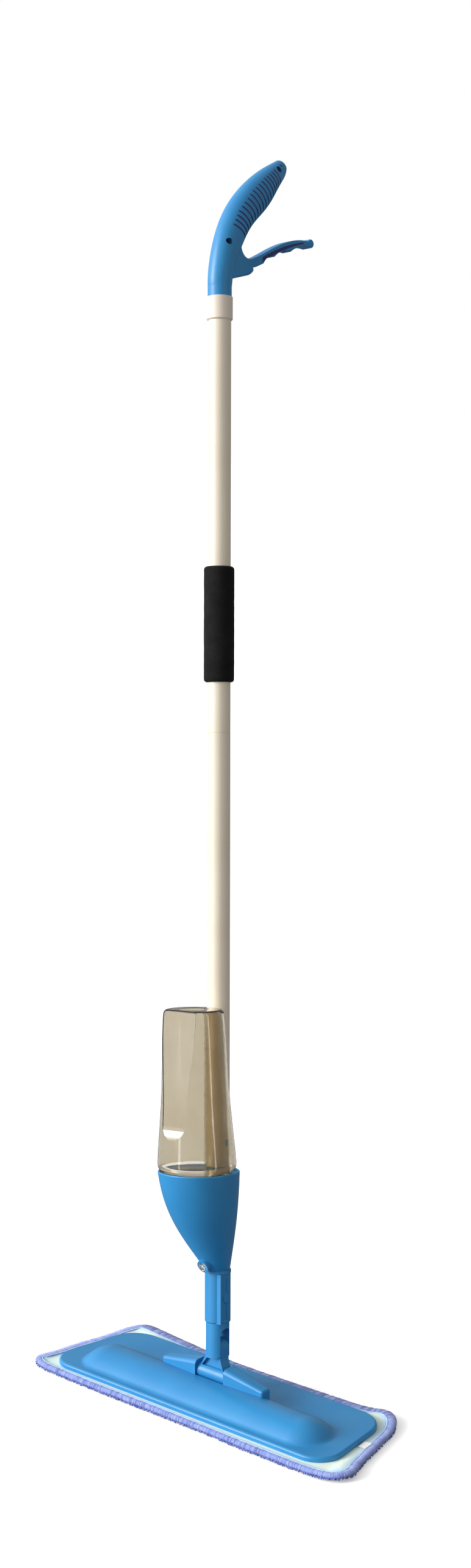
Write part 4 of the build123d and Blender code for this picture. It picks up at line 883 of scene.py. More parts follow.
class Repeater(Enum):
    """Geometry Nodes trees that repeat a small piece along a line or over faces."""

    LINE = "Repeat along a line"
    FACES = "Repeat over faces"

    def tree(self) -> Tree:
        """Gives the tree, building it at its first use.

        Returns:
            The tree.
        """
        found = bpy.data.node_groups.get(self.value)
        if found:
            return found
        tree = bpy.data.node_groups.new(self.value, "GeometryNodeTree")
        kinds = {
            "Host": "NodeSocketGeometry",
            "Piece": "NodeSocketObject",
            "Pitch": FLOAT,
            "Turn": FLOAT,
            "Size change": FLOAT,
            "Stretch": FLOAT,
            "Seed": "NodeSocketInt",
            "Finish": "NodeSocketMaterial",
        }
        for name, kind in kinds.items():
            tree.interface.new_socket(name=name, in_out="INPUT", socket_type=kind)
        tree.interface.new_socket(name="Result", in_out="OUTPUT", socket_type="NodeSocketGeometry")
        sheet = NodeSheet(tree)
        given = sheet.add("NodeGroupInput").outputs
        points, facing = self.places(sheet, given)
        limits = {0: (-1.0, -1.0, -1.0), 1: (1.0, 1.0, 1.0), 8: given["Seed"]}
        swing = sheet.add("FunctionNodeRandomValue", limits, data_type="FLOAT_VECTOR")
        angles = sheet.add("ShaderNodeVectorMath", {0: swing.outputs[0], 3: given["Turn"]}, operation="SCALE")
        extra = sheet.add("FunctionNodeEulerToRotation", {0: angles.outputs[0]})
        both = {0: facing, 1: extra.outputs[0]}
        turned = sheet.add("FunctionNodeRotateRotation", both, rotation_space="LOCAL")
        limits = {2: -1.0, 3: 1.0, 8: given["Seed"]}
        growth = sheet.add("FunctionNodeRandomValue", limits, data_type="FLOAT")
        size = sheet.calc("MULTIPLY_ADD", growth.outputs[1], given["Size change"], 1.0)
        spread = sheet.add("GeometryNodeInputNamedAttribute", {"Name": "spread"}, data_type="FLOAT")
        longer = sheet.calc("SUBTRACT", spread.outputs["Attribute"], 1.0)
        reach = sheet.calc("MULTIPLY_ADD", longer, given["Stretch"], 1.0)
        scale = sheet.add("ShaderNodeCombineXYZ", {0: sheet.calc("MULTIPLY", size, reach), 1: size, 2: size})
        shape = sheet.add("GeometryNodeObjectInfo", {"Object": given["Piece"]})
        placed = sheet.add(
            "GeometryNodeInstanceOnPoints",
            {
                "Points": points,
                "Instance": shape.outputs["Geometry"],
                "Rotation": turned.outputs[0],
                "Scale": scale.outputs[0],
            },
        )
        real = sheet.add("GeometryNodeRealizeInstances", {0: placed.outputs[0]})
        worn = {"Geometry": real.outputs[0], "Material": given["Finish"]}
        dressed = sheet.add("GeometryNodeSetMaterial", worn)
        sheet.add("NodeGroupOutput", {0: dressed.outputs[0]})
        return tree

    def places(self, sheet: NodeSheet, given: bpy.types.bpy_prop_collection) -> tuple[Socket, Socket]:
        """Lays the nodes that find the places.

        Args:
            sheet: the tree's sheet.
            given: outputs of the tree's input node.

        Returns:
            The points and the way each one faces.
        """
        if self is Repeater.FACES:
            spread = sheet.add(
                "GeometryNodeDistributePointsOnFaces",
                {
                    "Mesh": given["Host"],
                    "Distance Min": given["Pitch"],
                    "Density Max": DENSEST,
                    "Seed": given["Seed"],
                },
                distribute_method="POISSON",
            )
            return spread.outputs["Points"], spread.outputs["Rotation"]
        line = sheet.add("GeometryNodeMeshToCurve", {0: given["Host"]})
        steps = {"Curve": line.outputs[0], "Length": given["Pitch"]}
        even = sheet.add("GeometryNodeResampleCurve", steps, mode="LENGTH")
        ahead = sheet.add("GeometryNodeInputTangent")
        axes = {0: (0.0, 0.0, 1.0), 1: ahead.outputs[0]}
        facing = sheet.add("FunctionNodeAxesToRotation", axes, primary_axis="Z", secondary_axis="Y")
        return even.outputs[0], facing.outputs[0]

    def run(self, name: str, host: Piece, values: dict[str, object]) -> Piece:
        """Repeats a piece on a host and makes the result a plain mesh.

        Args:
            name: the new piece's name.
            host: the line or faces; it is used up, with the small piece.
            values: the tree's inputs by name.

        Returns:
            The new object.
        """
        tree = self.tree()
        modifier = host.modifiers.new("repeats", "NODES")
        modifier.node_group = tree
        for item in tree.interface.items_tree:
            if item.item_type == "SOCKET" and item.in_out == "INPUT" and item.name in values:
                modifier[item.identifier] = values[item.name]
        ready = host.evaluated_get(bpy.context.evaluated_depsgraph_get())
        mesh = bpy.data.meshes.new_from_object(ready)
        mesh.polygons.foreach_set("use_smooth", [True] * len(mesh.polygons))
        mesh.name = name
        made = bpy.data.objects.new(name, mesh)
        bpy.context.scene.collection.objects.link(made)
        for used in (host, values["Piece"]):
            bpy.data.objects.remove(used)
        return made


class EdgeLine:
    """A smooth closed line in plan, counterclockwise from above, with a height at each point."""

    def __init__(self, knots: Sequence[Triple], count: int) -> None:
        """Runs a smooth line through the knots and divides it evenly.

        Args:
            knots: x, y and lift of each knot in millimetres.
            count: points on the finished line.
        """
        self.points = self.divided([Vector(k) * MM for k in knots], count)
        ahead = [self.points[(i + 1) % count] - self.points[i - 1] for i in range(count)]
        self.outward = [Vector((a.y, -a.x, 0.0)).normalized() for a in ahead]
        self.spread = [1.0] * count

    @staticmethod
    def divided(knots: Sequence[Vector], count: int) -> list[Vector]:
        """Divides a closed smooth line through the knots into even steps.

        Args:
            knots: points that the line runs through, in metres.
            count: points on the finished line.

        Returns:
            The line's points.
        """
        dense: list[Vector] = []
        total = len(knots)
        for k in range(total):
            near = [knots[(k + n) % total] for n in (-1, 0, 1, 2)]
            times = [0.0]
            for a, b in zip(near, near[1:]):
                times.append(times[-1] + math.sqrt((b - a).length))
            for s in range(KNOT_STEPS):
                now = times[1] + (times[2] - times[1]) * s / KNOT_STEPS
                row, first = list(near), 1
                while len(row) > 1:
                    spans = [(times[i], times[i + first]) for i in range(len(row) - 1)]
                    if first == 3:
                        spans = [(times[1], times[2])]
                    shares = [(now - low) / (high - low) for low, high in spans]
                    row = [a.lerp(b, share) for a, b, share in zip(row, row[1:], shares)]
                    first += 1
                dense.append(row[0])
        reach = [0.0]
        for k, point in enumerate(dense):
            reach.append(reach[-1] + (dense[(k + 1) % len(dense)] - point).length)
        even: list[Vector] = []
        k = 0
        for i in range(count):
            want = reach[-1] * i / count
            while reach[k + 1] < want:
                k += 1
            share = (want - reach[k]) / (reach[k + 1] - reach[k])
            even.append(dense[k].lerp(dense[(k + 1) % len(dense)], share))
        return even

    def ring(self, inset: float, height: float) -> list[Vector]:
        """Gives the line moved inwards, by more where it is spread, and up by a height."""
        up = Vector((0.0, 0.0, height))
        return [p - o * inset * s + up for p, o, s in zip(self.points, self.outward, self.spread)]

    def host(self, inset: float, height: float) -> Piece:
        """Makes a ring of edges to repeat pieces along.

        Args:
            inset: how far the ring lies inside the line.
            height: its height over the line's lift.

        Returns:
            The mesh of edges.
        """
        ring = self.ring(inset, height)
        count = len(ring)
        host = MeshMaker.piece("edge_host", ring, [], [(i, (i + 1) % count) for i in range(count)])
        host.data.attributes.new("spread", "FLOAT", "POINT").data.foreach_set("value", self.spread)
        return host


@dataclass
class MopPad:
    """Microfibre pad: pile body, mint loop face, overlocked edge, fringe and bare tag."""

    knots: tuple[Triple, ...] = (
        (-194.0, -46.0, 1.4), (-190.5, -54.0, 1.2), (-177.0, -59.2, 0.5), (-146.0, -60.6, 0.1),
        (-110.0, -61.4, 0.0), (-69.0, -61.6, 0.0), (-30.0, -61.4, 0.0), (10.0, -61.8, 0.0),
        (48.0, -62.2, 0.0), (87.0, -63.4, 0.0), (121.0, -63.4, 0.0), (157.0, -63.6, 0.2),
        (178.0, -62.4, 0.8), (192.0, -58.6, 1.6), (200.0, -49.5, 2.2), (200.6, -40.0, 2.0),
        (197.6, -31.0, 1.4), (193.4, -21.0, 0.7), (190.0, -9.0, 0.3), (186.2, 5.0, 0.3),
        (182.2, 20.0, 0.3), (178.4, 35.0, 0.2), (174.4, 49.0, 0.4), (168.6, 61.5, 0.9),
        (160.0, 73.0, 1.5), (150.0, 79.6, 1.6), (140.0, 80.6, 1.2), (130.0, 77.6, 0.6),
        (116.0, 75.6, 0.2), (95.0, 74.8, 0.0), (60.0, 73.4, 0.0), (20.0, 72.4, 0.0),
        (-25.0, 71.6, 0.0), (-65.0, 73.0, 0.0), (-100.0, 76.8, 0.1), (-130.0, 79.4, 0.5),
        (-152.0, 81.4, 1.0), (-164.0, 81.2, 1.2), (-172.0, 76.6, 1.1), (-177.0, 67.0, 0.8),
        (-180.0, 53.0, 0.4), (-182.0, 35.0, 0.2), (-185.2, 17.0, 0.2), (-189.0, 1.0, 0.1),
        (-190.4, -14.0, 0.3), (-191.0, -27.0, 0.7), (-192.8, -37.0, 1.1),
    )
    count: int = 420
    face_inset: float = 4.4 * MM
    face_top: float = 5.95 * MM
    face_low: float = 5.2 * MM
    body_low: float = 1.0 * MM
    body_high: float = 4.2 * MM
    swell_cap: float = 0.7 * MM
    stitch_pitch: float = 1.15 * MM
    fringe_pitch: float = 1.15 * MM
    pile_pitch: float = 3.3 * MM
    spine_half: float = 0.095
    spine_y: float = 0.008
    plate_front: float = -0.052
    plate_back: float = 0.058
    plate_half: float = 0.178
    plate_slant: float = 0.1455
    band_back: float = 2.6
    band_left: float = 2.2
    band_right: float = 1.25
    free_from: float = 0.001
    free_to: float = 0.009
    wave_scale: float = 60.0
    wave_row: float = 3.0
    body_inset: float = 0.006
    body_shares: tuple[float, ...] = (0.7, 0.5, 0.3, 0.15, 0.06)
    body_foot: tuple[Pair, ...] = ((0.006, 0.0), (0.0038, 0.0002), (0.0026, 0.0009), (0.0023, 0.0017))
    body_brow: tuple[Pair, ...] = ((0.0028, 0.0007), (0.0042, 0.0001), (0.006, 0.0))
    swell_pressure: float = 4.0
    swell_quality: int = 4
    swell_steps: int = 20
    face_shares: tuple[float, ...] = (0.0, 0.03, 0.06, 0.1, 0.14, 0.19, 0.25, 0.4, 0.7)
    face_puff: float = 0.0007
    face_rim: float = 0.1
    band_profile: tuple[Pair, ...] = (
        (4.8, 2.2), (3.2, 1.9), (1.6, 1.9), (0.5, 2.4), (0.0, 3.4), (0.1, 4.5), (0.7, 5.6),
        (1.7, 6.3), (2.9, 6.6), (4.0, 6.45), (4.7, 6.1), (4.9, 4.4),
    )
    stitch_profile: tuple[Pair, ...] = (
        (-4.4, 6.0), (-4.0, 6.4), (-2.9, 6.6), (-1.6, 6.3),
        (-0.65, 5.6), (-0.05, 4.5), (0.05, 3.4), (-0.45, 2.5),
    )
    stitch_step: float = 0.11
    stitch_start: float = 0.4
    stitch_radius: float = 0.24 * MM
    cord_at: Pair = (4.9, 6.35)
    cord_half: Pair = (0.5, 0.42)
    cord_sides: int = 6
    fringe_outer: tuple[float, ...] = (0.9, 2.9, 1.5, 1.9, 0.6)
    fringe_inner: tuple[float, ...] = (2.4, 2.6, 1.2, 1.6, 0.65)
    pile_shares: tuple[float, ...] = (0.75, 0.5, 0.25, 0.0)
    pile_rise: float = 0.0008
    pile_inset: float = 0.0025
    tag_path: tuple[Pair, ...] = (
        (0.9, 6.1), (4.0, 6.25), (8.0, 6.35), (9.6, 6.5), (10.1, 6.85),
        (9.7, 7.2), (8.0, 7.2), (4.5, 7.0), (1.0, 6.95),
    )
    tag_y: float = 0.007
    tag_width: float = 0.013
    tag_rows: int = 9
    tag_ripple: float = 0.12 * MM
    tag_lift: float = 0.3 * MM
    tag_thick: float = 0.18 * MM
    seed: int = 7

    def __post_init__(self) -> None:
        """Runs the outer edge line with the band's width on each side of the pad."""
        self.edge = EdgeLine(self.knots, self.count)
        for i, out in enumerate(self.edge.outward):
            across = out.x * out.x * (self.band_right if out.x > 0 else self.band_left)
            self.edge.spread[i] = across + out.y * out.y * (self.band_back if out.y > 0 else 1.0)

    def past_plate(self, point: Vector) -> float:
        """Gives how far a point lies outside the plate in plan; it is negative under the plate."""
        half = self.plate_half - self.plate_slant * (point.y - self.plate_front)
        return max(abs(point.x) - half, self.plate_front - point.y, point.y - self.plate_back)

    def drawn_in(self, ring: Sequence[Vector], share: float) -> list[Vector]:
        """Draws a ring towards the pad's middle line by a share.

        Args:
            ring: the ring's points.
            share: 0 leaves it, 1 draws it onto the middle line.

        Returns:
            The inner ring.
        """
        inner: list[Vector] = []
        for p in ring:
            x = max(-self.spine_half, min(self.spine_half, p.x))
            inner.append(p.lerp(Vector((x, self.spine_y, p.z)), share))
        return inner

    def settled(self, ring: Sequence[Vector], height: float, puff: float) -> list[Vector]:
        """Lays a ring at a height, flat under the plate and softly raised outside it.

        Args:
            ring: points in plan with the edge's lift.
            height: height under the plate.
            puff: how far the free cloth stands up.

        Returns:
            The settled ring.
        """
        laid: list[Vector] = []
        for p in ring:
            free = smooth_step(self.free_from, self.free_to, self.past_plate(p))
            spot = Vector((p.x * self.wave_scale, p.y * self.wave_scale, self.wave_row))
            wave = 0.5 + 0.5 * noise.noise(spot)
            laid.append(Vector((p.x, p.y, height + free * (p.z + puff * wave))))
        return laid

    def build(self) -> None:
        """Makes and dresses all the pieces of the pad."""
        body = self.pile_body()
        face = self.loop_face()
        trims = [self.binding(), self.stitches(), self.edge_cord(), self.fringe(), self.pile()]
        tag = self.tag()
        for piece in (body, face, tag, *trims):
            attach(piece, Body.HEAD.value)
            LOG.info("%s laid", piece.name)
        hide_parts("pad_pile")
        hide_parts("pad_backing")
        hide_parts("care_tag")
        ring = self.edge.ring(self.face_inset, 0.0)

    def pile_body(self) -> Piece:
        """Makes the padded pile body and lets its free margin swell by cloth simulation.

        Returns:
            The new piece.
        """
        low, high = self.body_low, self.body_high
        wide = self.edge.ring(self.body_inset, 0.0)
        shares = self.body_shares
        rings = [self.settled(self.drawn_in(wide, s), low, 0.0) for s in shares]
        rings += [self.edge.ring(inset, low + rise) for inset, rise in self.body_foot]
        rings += [self.edge.ring(inset, high - drop) for inset, drop in self.body_brow]
        rings += [self.settled(self.drawn_in(wide, s), high, 0.0) for s in reversed(shares)]
        body = MeshMaker.lofted("pad_body", rings)
        self.swell(body)
        body.data.materials.append(VIOLET_PILE.make())
        finer = body.modifiers.new("soft", "SUBSURF")
        finer.levels = finer.render_levels = 1
        return body

    def swell(self, body: Piece) -> None:
        """Runs the cloth simulation on a body held under the plate.

        Args:
            body: the pile body; its points move by at most the cap.
        """
        rest = [v.co.copy() for v in body.data.vertices]
        held = body.vertex_groups.new(name="held")
        held.add([i for i, p in enumerate(rest) if self.past_plate(p) < 0.0], 1.0, "REPLACE")
        cloth = body.modifiers.new("swell", "CLOTH")
        cloth.settings.vertex_group_mass = "held"
        cloth.settings.use_pressure = True
        cloth.settings.uniform_pressure_force = self.swell_pressure
        cloth.settings.effector_weights.gravity = 0.0
        cloth.settings.quality = self.swell_quality
        cloth.collision_settings.use_collision = False
        scene = bpy.context.scene
        for step in range(self.swell_steps):
            scene.frame_set(step + 1)
        ready = body.evaluated_get(bpy.context.evaluated_depsgraph_get())
        moved = [v.co.copy() for v in ready.data.vertices]
        body.modifiers.remove(cloth)
        scene.frame_set(1)
        for vertex, was, now in zip(body.data.vertices, rest, moved):
            step = now - was
            if step.length > self.swell_cap:
                step *= self.swell_cap / step.length
            vertex.co = was + step

    def loop_face(self) -> Piece:
        """Makes the mint loop cloth that the hook strips hold.

        Returns:
            The new piece.
        """
        wide = self.edge.ring(self.face_inset, 0.0)
        shares = self.face_shares
        under = [self.settled(self.drawn_in(wide, s), self.face_low, 0.0) for s in reversed(shares)]
        over = [self.settled(self.drawn_in(wide, s), self.face_top, self.face_puff) for s in shares]
        face = MeshMaker.lofted("pad_loop_face", under + over)
        rims = [1.0 - smooth_step(0.0, self.face_rim, s) for s in (*reversed(shares), *shares)]
        marks = [mark for mark in rims for _ in range(self.count)]
        face.data.attributes.new("near_rim", "FLOAT", "POINT").data.foreach_set("value", marks)
        face.data.materials.append(MINT_LOOPS.make())
        return face

    def binding(self) -> Piece:
        """Makes the sewn band that wraps the pad's edge.

        Returns:
            The new piece.
        """
        rings = [self.edge.ring(inset * MM, height * MM) for inset, height in self.band_profile]
        band = MeshMaker.lofted("pad_binding", rings, ring_closed=True)
        band.data.materials.append(VIOLET_BAND.make())
        return band

    def stitches(self) -> Piece:
        """Sews overlock threads across the band, all round the pad.

        Returns:
            The new piece.
        """
        path: list[Vector] = []
        for k, (x, z) in enumerate(self.stitch_profile):
            path.append(Vector((x, self.stitch_step * k - self.stitch_start, z)) * MM)
        thread = MeshMaker.thread("stitch", path, [self.stitch_radius] * len(path), 4)
        values = {
            "Piece": thread, "Pitch": self.stitch_pitch, "Turn": 0.05, "Size change": 0.02, "Stretch": 1.0,
            "Seed": self.seed, "Finish": VIOLET_THREAD.make(),
        }
        return Repeater.LINE.run("pad_stitches", self.edge.host(0.0, 0.0), values)

    def edge_cord(self) -> Piece:
        """Lays the pale looper thread along the band's inner edge.

        Returns:
            The new piece.
        """
        turns = [2 * math.pi * k / self.cord_sides for k in range(self.cord_sides)]
        (at, up), (wide, tall) = self.cord_at, self.cord_half
        ring = [(at - wide * math.cos(a), up + tall * math.sin(a)) for a in turns]
        rings = [self.edge.ring(inset * MM, height * MM) for inset, height in reversed(ring)]
        cord = MeshMaker.lofted("pad_edge_cord", rings, ring_closed=True)
        cord.data.materials.append(PALE_THREAD.make())
        return cord

    def tuft(self, name: str, reach: float, drop: float, thick: float) -> Piece:
        """Makes one hanging tuft of pile yarn.

        Args:
            name: its name.
            reach: how far it stands out.
            drop: how far it hangs down.
            thick: its thickest radius.

        Returns:
            The tuft, out along X and down along Z.
        """
        path = [Vector((0.0, 0.0, 0.0)), Vector((reach * 0.7, 0.0, -drop * 0.25))]
        path += [Vector((reach, 0.0002, -drop * 0.6)), Vector((reach * 0.8, 0.0, -drop))]
        return MeshMaker.thread(name, path, [thick * s for s in (0.6, 1.0, 1.0, 0.35)], 5)

    def fringe(self) -> Piece:
        """Hangs ragged tufts from the band's lower edge.

        Returns:
            The new piece.
        """
        finish = VIOLET_TUFT.make()
        rows: list[Piece] = []
        sizes = {"pad_fringe": self.fringe_outer, "fringe_row": self.fringe_inner}
        for k, (name, (inset, height, reach, drop, thick)) in enumerate(sizes.items()):
            values = {
                "Piece": self.tuft("tuft", reach * MM, drop * MM, thick * MM),
                "Pitch": self.fringe_pitch, "Turn": 0.42, "Size change": 0.28,
                "Seed": self.seed + 1 + k, "Finish": finish,
            }
            rows.append(Repeater.LINE.run(name, self.edge.host(inset * MM, height * MM), values))
        return self.joined(*rows)

    def pile(self) -> Piece:
        """Sets microfibre tufts all over the underside.

        Returns:
            The new piece.
        """
        low = self.body_low + self.pile_rise
        wide = self.edge.ring(self.pile_inset, 0.0)
        rings = [self.settled(self.drawn_in(wide, s), low, 0.0) for s in self.pile_shares]
        host = MeshMaker.lofted("pile_host", rings, capped=False)
        knob = [Vector((0.0, 0.0, 0.0)), Vector((0.3, 0.2, 0.6)) * MM, Vector((0.1, -0.2, 1.1)) * MM]
        tuft = MeshMaker.thread("tuft", knob, [1.0 * MM, 1.2 * MM, 0.5 * MM], 5)
        values = {
            "Piece": tuft, "Pitch": self.pile_pitch, "Turn": 0.5, "Size change": 0.2,
            "Seed": self.seed + 3, "Finish": VIOLET_TUFT.make(),
        }
        return Repeater.FACES.run("pad_pile_tufts", host, values)

    @staticmethod
    def joined(first: Piece, second: Piece) -> Piece:
        """Joins the second piece into the first.

        Args:
            first: the piece that stays.
            second: the piece that is used up.

        Returns:
            The first piece.
        """
        both = [first, second]
        with bpy.context.temp_override(active_object=first, selected_editable_objects=both):
            bpy.ops.object.join()
        return first

    def tag(self) -> Piece:
        """Folds the bare care tag over at the pad's right end.

        Returns:
            The new piece.
        """
        y, rows = self.tag_y, self.tag_rows
        start = self.plate_half - self.plate_slant * (y - self.plate_front)
        turn = Matrix.Rotation(math.atan(self.plate_slant), 3, "Z")
        points: list[Vector] = []
        for k, (out, height) in enumerate(self.tag_path):
            for r in range(rows):
                side = (r / (rows - 1) - 0.5) * self.tag_width
                ripple = self.tag_ripple * math.sin(3.1 * r / rows + 0.5 * k) * (k > 1)
                local = turn @ Vector((out * MM, side, 0.0))
                lift = self.tag_lift * smooth_step(0.0, 6.0, out)
                points.append(Vector((start + local.x, y + local.y, height * MM + ripple + lift)))
        faces: list[list[int]] = []
        for k in range(len(self.tag_path) - 1):
            for r in range(rows - 1):
                a = k * rows + r
                faces.append([a, a + rows, a + rows + 1, a + 1])
        tag = MeshMaker.piece("pad_tag", points, faces)
        tag.data.materials.append(TAG_RIBBON.make())
        thick = tag.modifiers.new("ribbon", "SOLIDIFY")
        thick.thickness = self.tag_thick
        thick.offset = 0.0
        finer = tag.modifiers.new("soft", "SUBSURF")
        finer.levels = finer.render_levels = 1
        return tag


@dataclass
class FoamSleeve:
    """Black foam sleeve pulled over the pole."""

    radius: float = 14.6 * MM
    bore: float = 11.08 * MM
    length: float = 110.0 * MM
    end_round: float = 2.8 * MM
    lean: Triple = POLE_WAY
    sides: int = 96
    rows: int = 40
    lip: float = 0.3 * MM
    rim: float = 0.4 * MM
    dent: float = 0.16 * MM
    dent_scale: float = 160.0
    shrink: float = 0.12 * MM

    def build(self) -> None:
        """Makes the sleeve round the pole, slightly uneven as cut foam is."""
        low, high = (Vector(corner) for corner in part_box("foam_grip"))
        middle = (low + high) / 2
        turn = Vector(self.lean).to_track_quat("Z", "Y")
        half = self.length / 2
        bend = self.end_round
        profile = [(self.bore, -half + self.lip), (self.bore + self.rim, -half)]
        arc = [math.radians(a) for a in (0, 22, 45, 68, 90)]
        inner = self.radius - bend
        profile += [(inner + bend * math.sin(a), -half + bend * (1 - math.cos(a))) for a in arc]
        straight = self.length - 2 * bend
        rows = range(1, self.rows)
        profile += [(self.radius, -half + bend + straight * k / self.rows) for k in rows]
        profile += [(inner + bend * math.cos(a), half - bend * (1 - math.sin(a))) for a in arc]
        profile += [(self.bore + self.rim, half), (self.bore, half - self.lip)]
        rings: list[list[Vector]] = []
        for r, z in profile:
            ring: list[Vector] = []
            for s in range(self.sides):
                a = 2 * math.pi * s / self.sides
                spot = Vector((math.cos(a) * r, math.sin(a) * r, z))
                if r > inner:
                    dent = self.dent * noise.noise(spot * self.dent_scale) - self.shrink
                    spot += Vector((math.cos(a), math.sin(a), 0.0)) * dent
                ring.append(middle + turn @ spot)
            rings.append(ring)
        sleeve = MeshMaker.lofted("foam_sleeve", rings, ring_closed=True)
        sleeve.data.materials.append(GRIP_FOAM.make())
        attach(sleeve, Body.POLE.value)
        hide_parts("foam_grip")
        LOG.info("foam sleeve pulled on at %.3f m", middle.z)


@dataclass
class SolePad:
    """Thin grey foam between the plate and the hook strips."""

    front: float = -0.04885
    back: float = 0.05485
    front_half: float = 0.17095
    back_half: float = 0.1559
    corner: float = 0.024
    sag: float = 0.1 * MM
    soft: float = 0.4 * MM
    inner: float = 0.02
    step: float = 0.008
    count: int = 240

    def build(self) -> None:
        """Makes the foam with soft edges."""
        low, high = (corner[2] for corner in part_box("sole_foam"))
        knots: list[Triple] = []
        corners = (
            (-self.front_half, self.front, 180), (self.front_half, self.front, 270),
            (self.back_half, self.back, 0), (-self.back_half, self.back, 90),
        )
        for x, y, start in corners:
            cx = x - math.copysign(self.corner, x)
            cy = y - math.copysign(self.corner, y)
            for a in range(start, start + 91, 15):
                way = math.radians(a)
                knots.append((cx + self.corner * math.cos(way), cy + self.corner * math.sin(way), 0.0))
        filled: list[Triple] = []
        for first, second in zip(knots, knots[1:] + knots[:1]):
            steps = max(1, round(math.dist(first, second) / self.step))
            for s in range(steps):
                filled.append(tuple((a + (b - a) * s / steps) / MM for a, b in zip(first, second)))
        line = EdgeLine(filled, self.count)
        foot, top = low + self.sag, high - self.sag
        rings = [line.ring(self.inner, foot), line.ring(self.soft, foot), line.ring(0.0, (low + high) / 2)]
        rings += [line.ring(self.soft, top), line.ring(self.inner, top)]
        sole = MeshMaker.lofted("sole_cushion", rings)
        sole.data.materials.append(SOLE_FOAM.make())
        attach(sole, Body.HEAD.value)
        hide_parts("sole_foam")
        LOG.info("sole cushion laid from %.4f to %.4f m", low, high)


@dataclass(frozen=True)
class Spring:
    """A hidden steel spring copied from the frame."""

    name: str
    node: str
    body: Body
    joint: str
    axis: Triple
    held_at: Triple
    keep: float
    merge: float = 0.001 * MM

    def build(self) -> None:
        """Copies the frame's spring, merges its points, dresses it in steel and hangs it on its body."""
        shape = frame["nodes"][self.node].data.copy()
        merged = bmesh.new()
        merged.from_mesh(shape)
        bmesh.ops.remove_doubles(merged, verts=merged.verts, dist=self.merge)
        merged.to_mesh(shape)
        merged.free()
        shape.materials.clear()
        shape.materials.append(STEEL.make())
        shape.name = self.name
        spring = bpy.data.objects.new(self.name, shape)
        bpy.context.scene.collection.objects.link(spring)
        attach(spring, self.body.value)
        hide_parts(self.node)
        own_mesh(spring)
        LOG.info("%s shortens to %.2f of its length", self.name, self.keep)


SPRINGS = (
    Spring("pump_coil", "pump_spring", Body.ROD, "rod_push", POLE_WAY, (-0.0127, 0.0178, 0.1724), 0.72),
    Spring(
        "button_leaf", "button_spring", Body.BUTTON, "button_press",
        (0.994522, 0.012739, 0.103749), (0.0022, 0.0084, 0.1), 0.72,
    ),
)


class MouldedParts:
    """The frame's own hard nodes, dressed by the record's slots."""

    @staticmethod
    def dress() -> None:
        """Gives each hard node the finish of its slot."""
        for part in frame["record"]["subparts"]:
            finish = NODE_FINISH.get(part["node"], SLOT_FINISH.get(part["material_slot"]))
            if finish is None:
                continue
            node = frame["nodes"][part["node"]]
            if not node.material_slots:
                node.data.materials.append(finish.make())
            for place in node.material_slots:
                place.material = finish.make()
            LOG.info("%s wears %s", part["node"], finish.name)


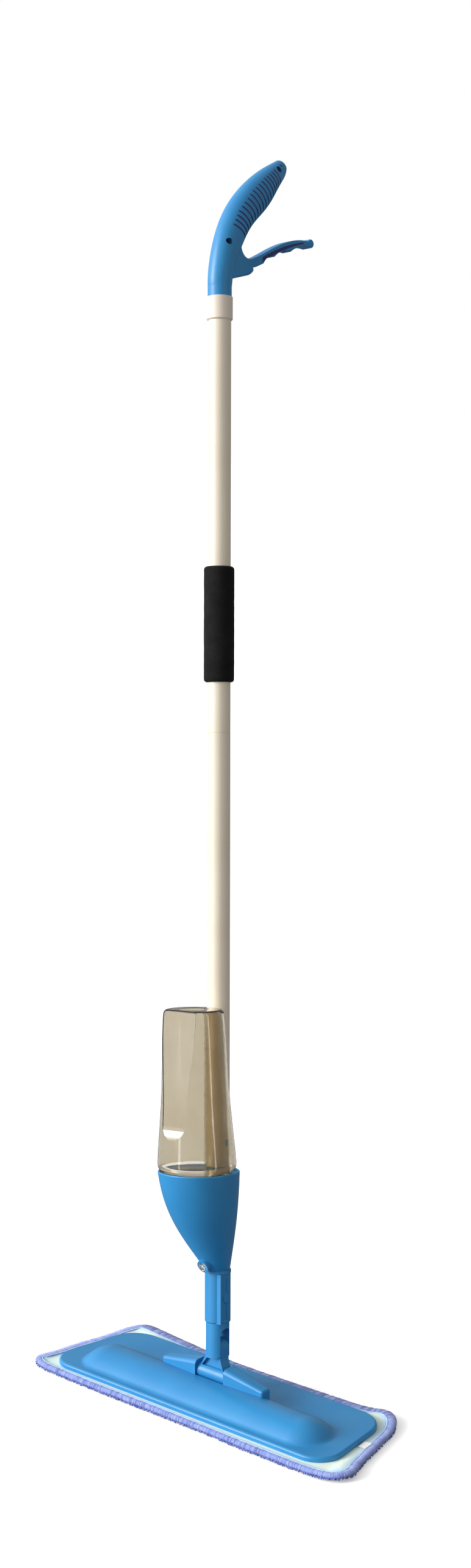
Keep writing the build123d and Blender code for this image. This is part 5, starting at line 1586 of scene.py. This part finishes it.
@dataclass
class Studio:
    """Pale floor, soft light and the camera at the picture's place."""

    camera_at: Triple = (1.3896, -1.5425, 0.9321)
    azimuth: float = 41.49
    pitch: float = 9.19
    lens: float = 52.9
    film: float = 36.0
    floor_half: float = 30.0
    sun_from: Triple = (-0.7, -1.02, 0.46)
    sun_power: float = 3.1
    sun_spread: float = 30.0
    sun_far: float = 3.0
    fill_power: float = 8.0
    fill_at: Triple = (-1.6, -1.6, 1.9)
    fill_size: float = 1.6
    look_at: Triple = (-0.05, 0.0, 0.6)
    floor_colour: Colour = (240, 240, 241)
    sky_left: Triple = (-0.75, -0.66, 0.25)
    sky_span: Pair = (-0.5, 0.95)
    sky_base: float = 0.3
    sky_slope: float = 0.4
    sky_peak: float = 0.7
    sky_power: float = 4.0
    sky_warm: tuple[float, ...] = (1.0, 0.97, 0.93, 1.0)
    sky_white: tuple[float, ...] = (1.0, 1.0, 1.0, 1.0)
    strip_height: float = 1.7
    strips: dict[str, tuple[Triple, float, float]] = field(
        default_factory=lambda: {
            "strip_front": ((-0.35, -1.9, 0.85), 5.0, 0.22),
            "strip_side": ((2.0, 0.3, 0.8), 4.5, 0.16),
        }
    )

    def build(self) -> None:
        """Sets the floor, the lights, the sky and the camera."""
        half = self.floor_half
        signs = ((-1, -1), (1, -1), (1, 1), (-1, 1))
        corners = [Vector((x * half, y * half, 0.0)) for x, y in signs]
        floor = MeshMaker.piece("floor", corners, [(0, 1, 2, 3)])
        floor.data.materials.append(PaleFloor("studio_floor", self.floor_colour).make())
        sun = bpy.data.lights.new("key", "SUN")
        sun.energy = self.sun_power
        sun.angle = math.radians(self.sun_spread)
        self.aimed("key", sun, Vector(self.sun_from) * self.sun_far, Vector((0.0, 0.0, 0.0)))
        soft = bpy.data.lights.new("front", "AREA")
        soft.energy = self.fill_power
        soft.size = self.fill_size
        self.aimed("front", soft, Vector(self.fill_at), Vector(self.look_at))
        for name, (place, power, width) in self.strips.items():
            strip = bpy.data.lights.new(name, "AREA")
            strip.shape = "RECTANGLE"
            strip.size = width
            strip.size_y = self.strip_height
            strip.energy = power
            self.aimed(name, strip, Vector(place), Vector(self.look_at))
        self.sky()
        lens = bpy.data.cameras.new("camera")
        lens.sensor_fit = "VERTICAL"
        lens.sensor_height = self.film
        lens.lens = self.lens
        az, down = math.radians(self.azimuth), math.radians(self.pitch)
        ahead = Vector((-math.sin(az) * math.cos(down), math.cos(az) * math.cos(down), -math.sin(down)))
        at = Vector(self.camera_at)
        bpy.context.scene.camera = self.aimed("camera", lens, at, at + ahead)
        bpy.context.scene.view_settings.view_transform = "Standard"
        LOG.info("studio set, lens %.1f mm", self.lens)

    @staticmethod
    def aimed(name: str, data: bpy.types.ID, at: Vector, target: Vector) -> Piece:
        """Places a lamp or camera that looks at a target.

        Args:
            name: the object's name.
            data: the lamp or camera.
            at: its place.
            target: the point that it looks at.

        Returns:
            The linked object.
        """
        made = bpy.data.objects.new(name, data)
        made.location = at
        made.rotation_euler = (target - at).to_track_quat("-Z", "Y").to_euler()
        bpy.context.scene.collection.objects.link(made)
        return made

    def sky(self) -> None:
        """Lights the room from the left, with white behind the object."""
        world = bpy.data.worlds.new("studio_sky")
        bpy.context.scene.world = world
        world.use_nodes = True
        world.node_tree.nodes.clear()
        sheet = NodeSheet(world.node_tree)
        way = sheet.add("ShaderNodeTexCoord").outputs["Generated"]
        share = sheet.span(sheet.dot(way, self.sky_left), *self.sky_span, 0.0, 1.0)
        glow = sheet.calc("MULTIPLY_ADD", share, self.sky_slope, self.sky_base)
        peak = sheet.calc("POWER", share, self.sky_power)
        glow = sheet.calc("MULTIPLY_ADD", peak, self.sky_peak, glow)
        rays = sheet.add("ShaderNodeLightPath").outputs
        behind = sheet.calc("MAXIMUM", rays["Is Camera Ray"], rays["Is Transmission Ray"])
        colour = sheet.tint(share, self.sky_warm, self.sky_white)
        colour = sheet.tint(behind, colour, self.sky_white)
        power = sheet.calc("MAXIMUM", glow, behind)
        light = sheet.add("ShaderNodeBackground", {0: colour, 1: power})
        sheet.add("ShaderNodeOutputWorld", {0: light.outputs[0]})


def main() -> None:
    """Builds the mop's soft pieces, dresses its hard ones and sets the studio."""
    logging.basicConfig(level=logging.INFO, format="%(name)s: %(message)s")
    Studio().build()
    MouldedParts.dress()
    MopPad().build()
    FoamSleeve().build()
    SolePad().build()
    for spring in SPRINGS:
        spring.build()


if __name__ == "__main__":
    main()
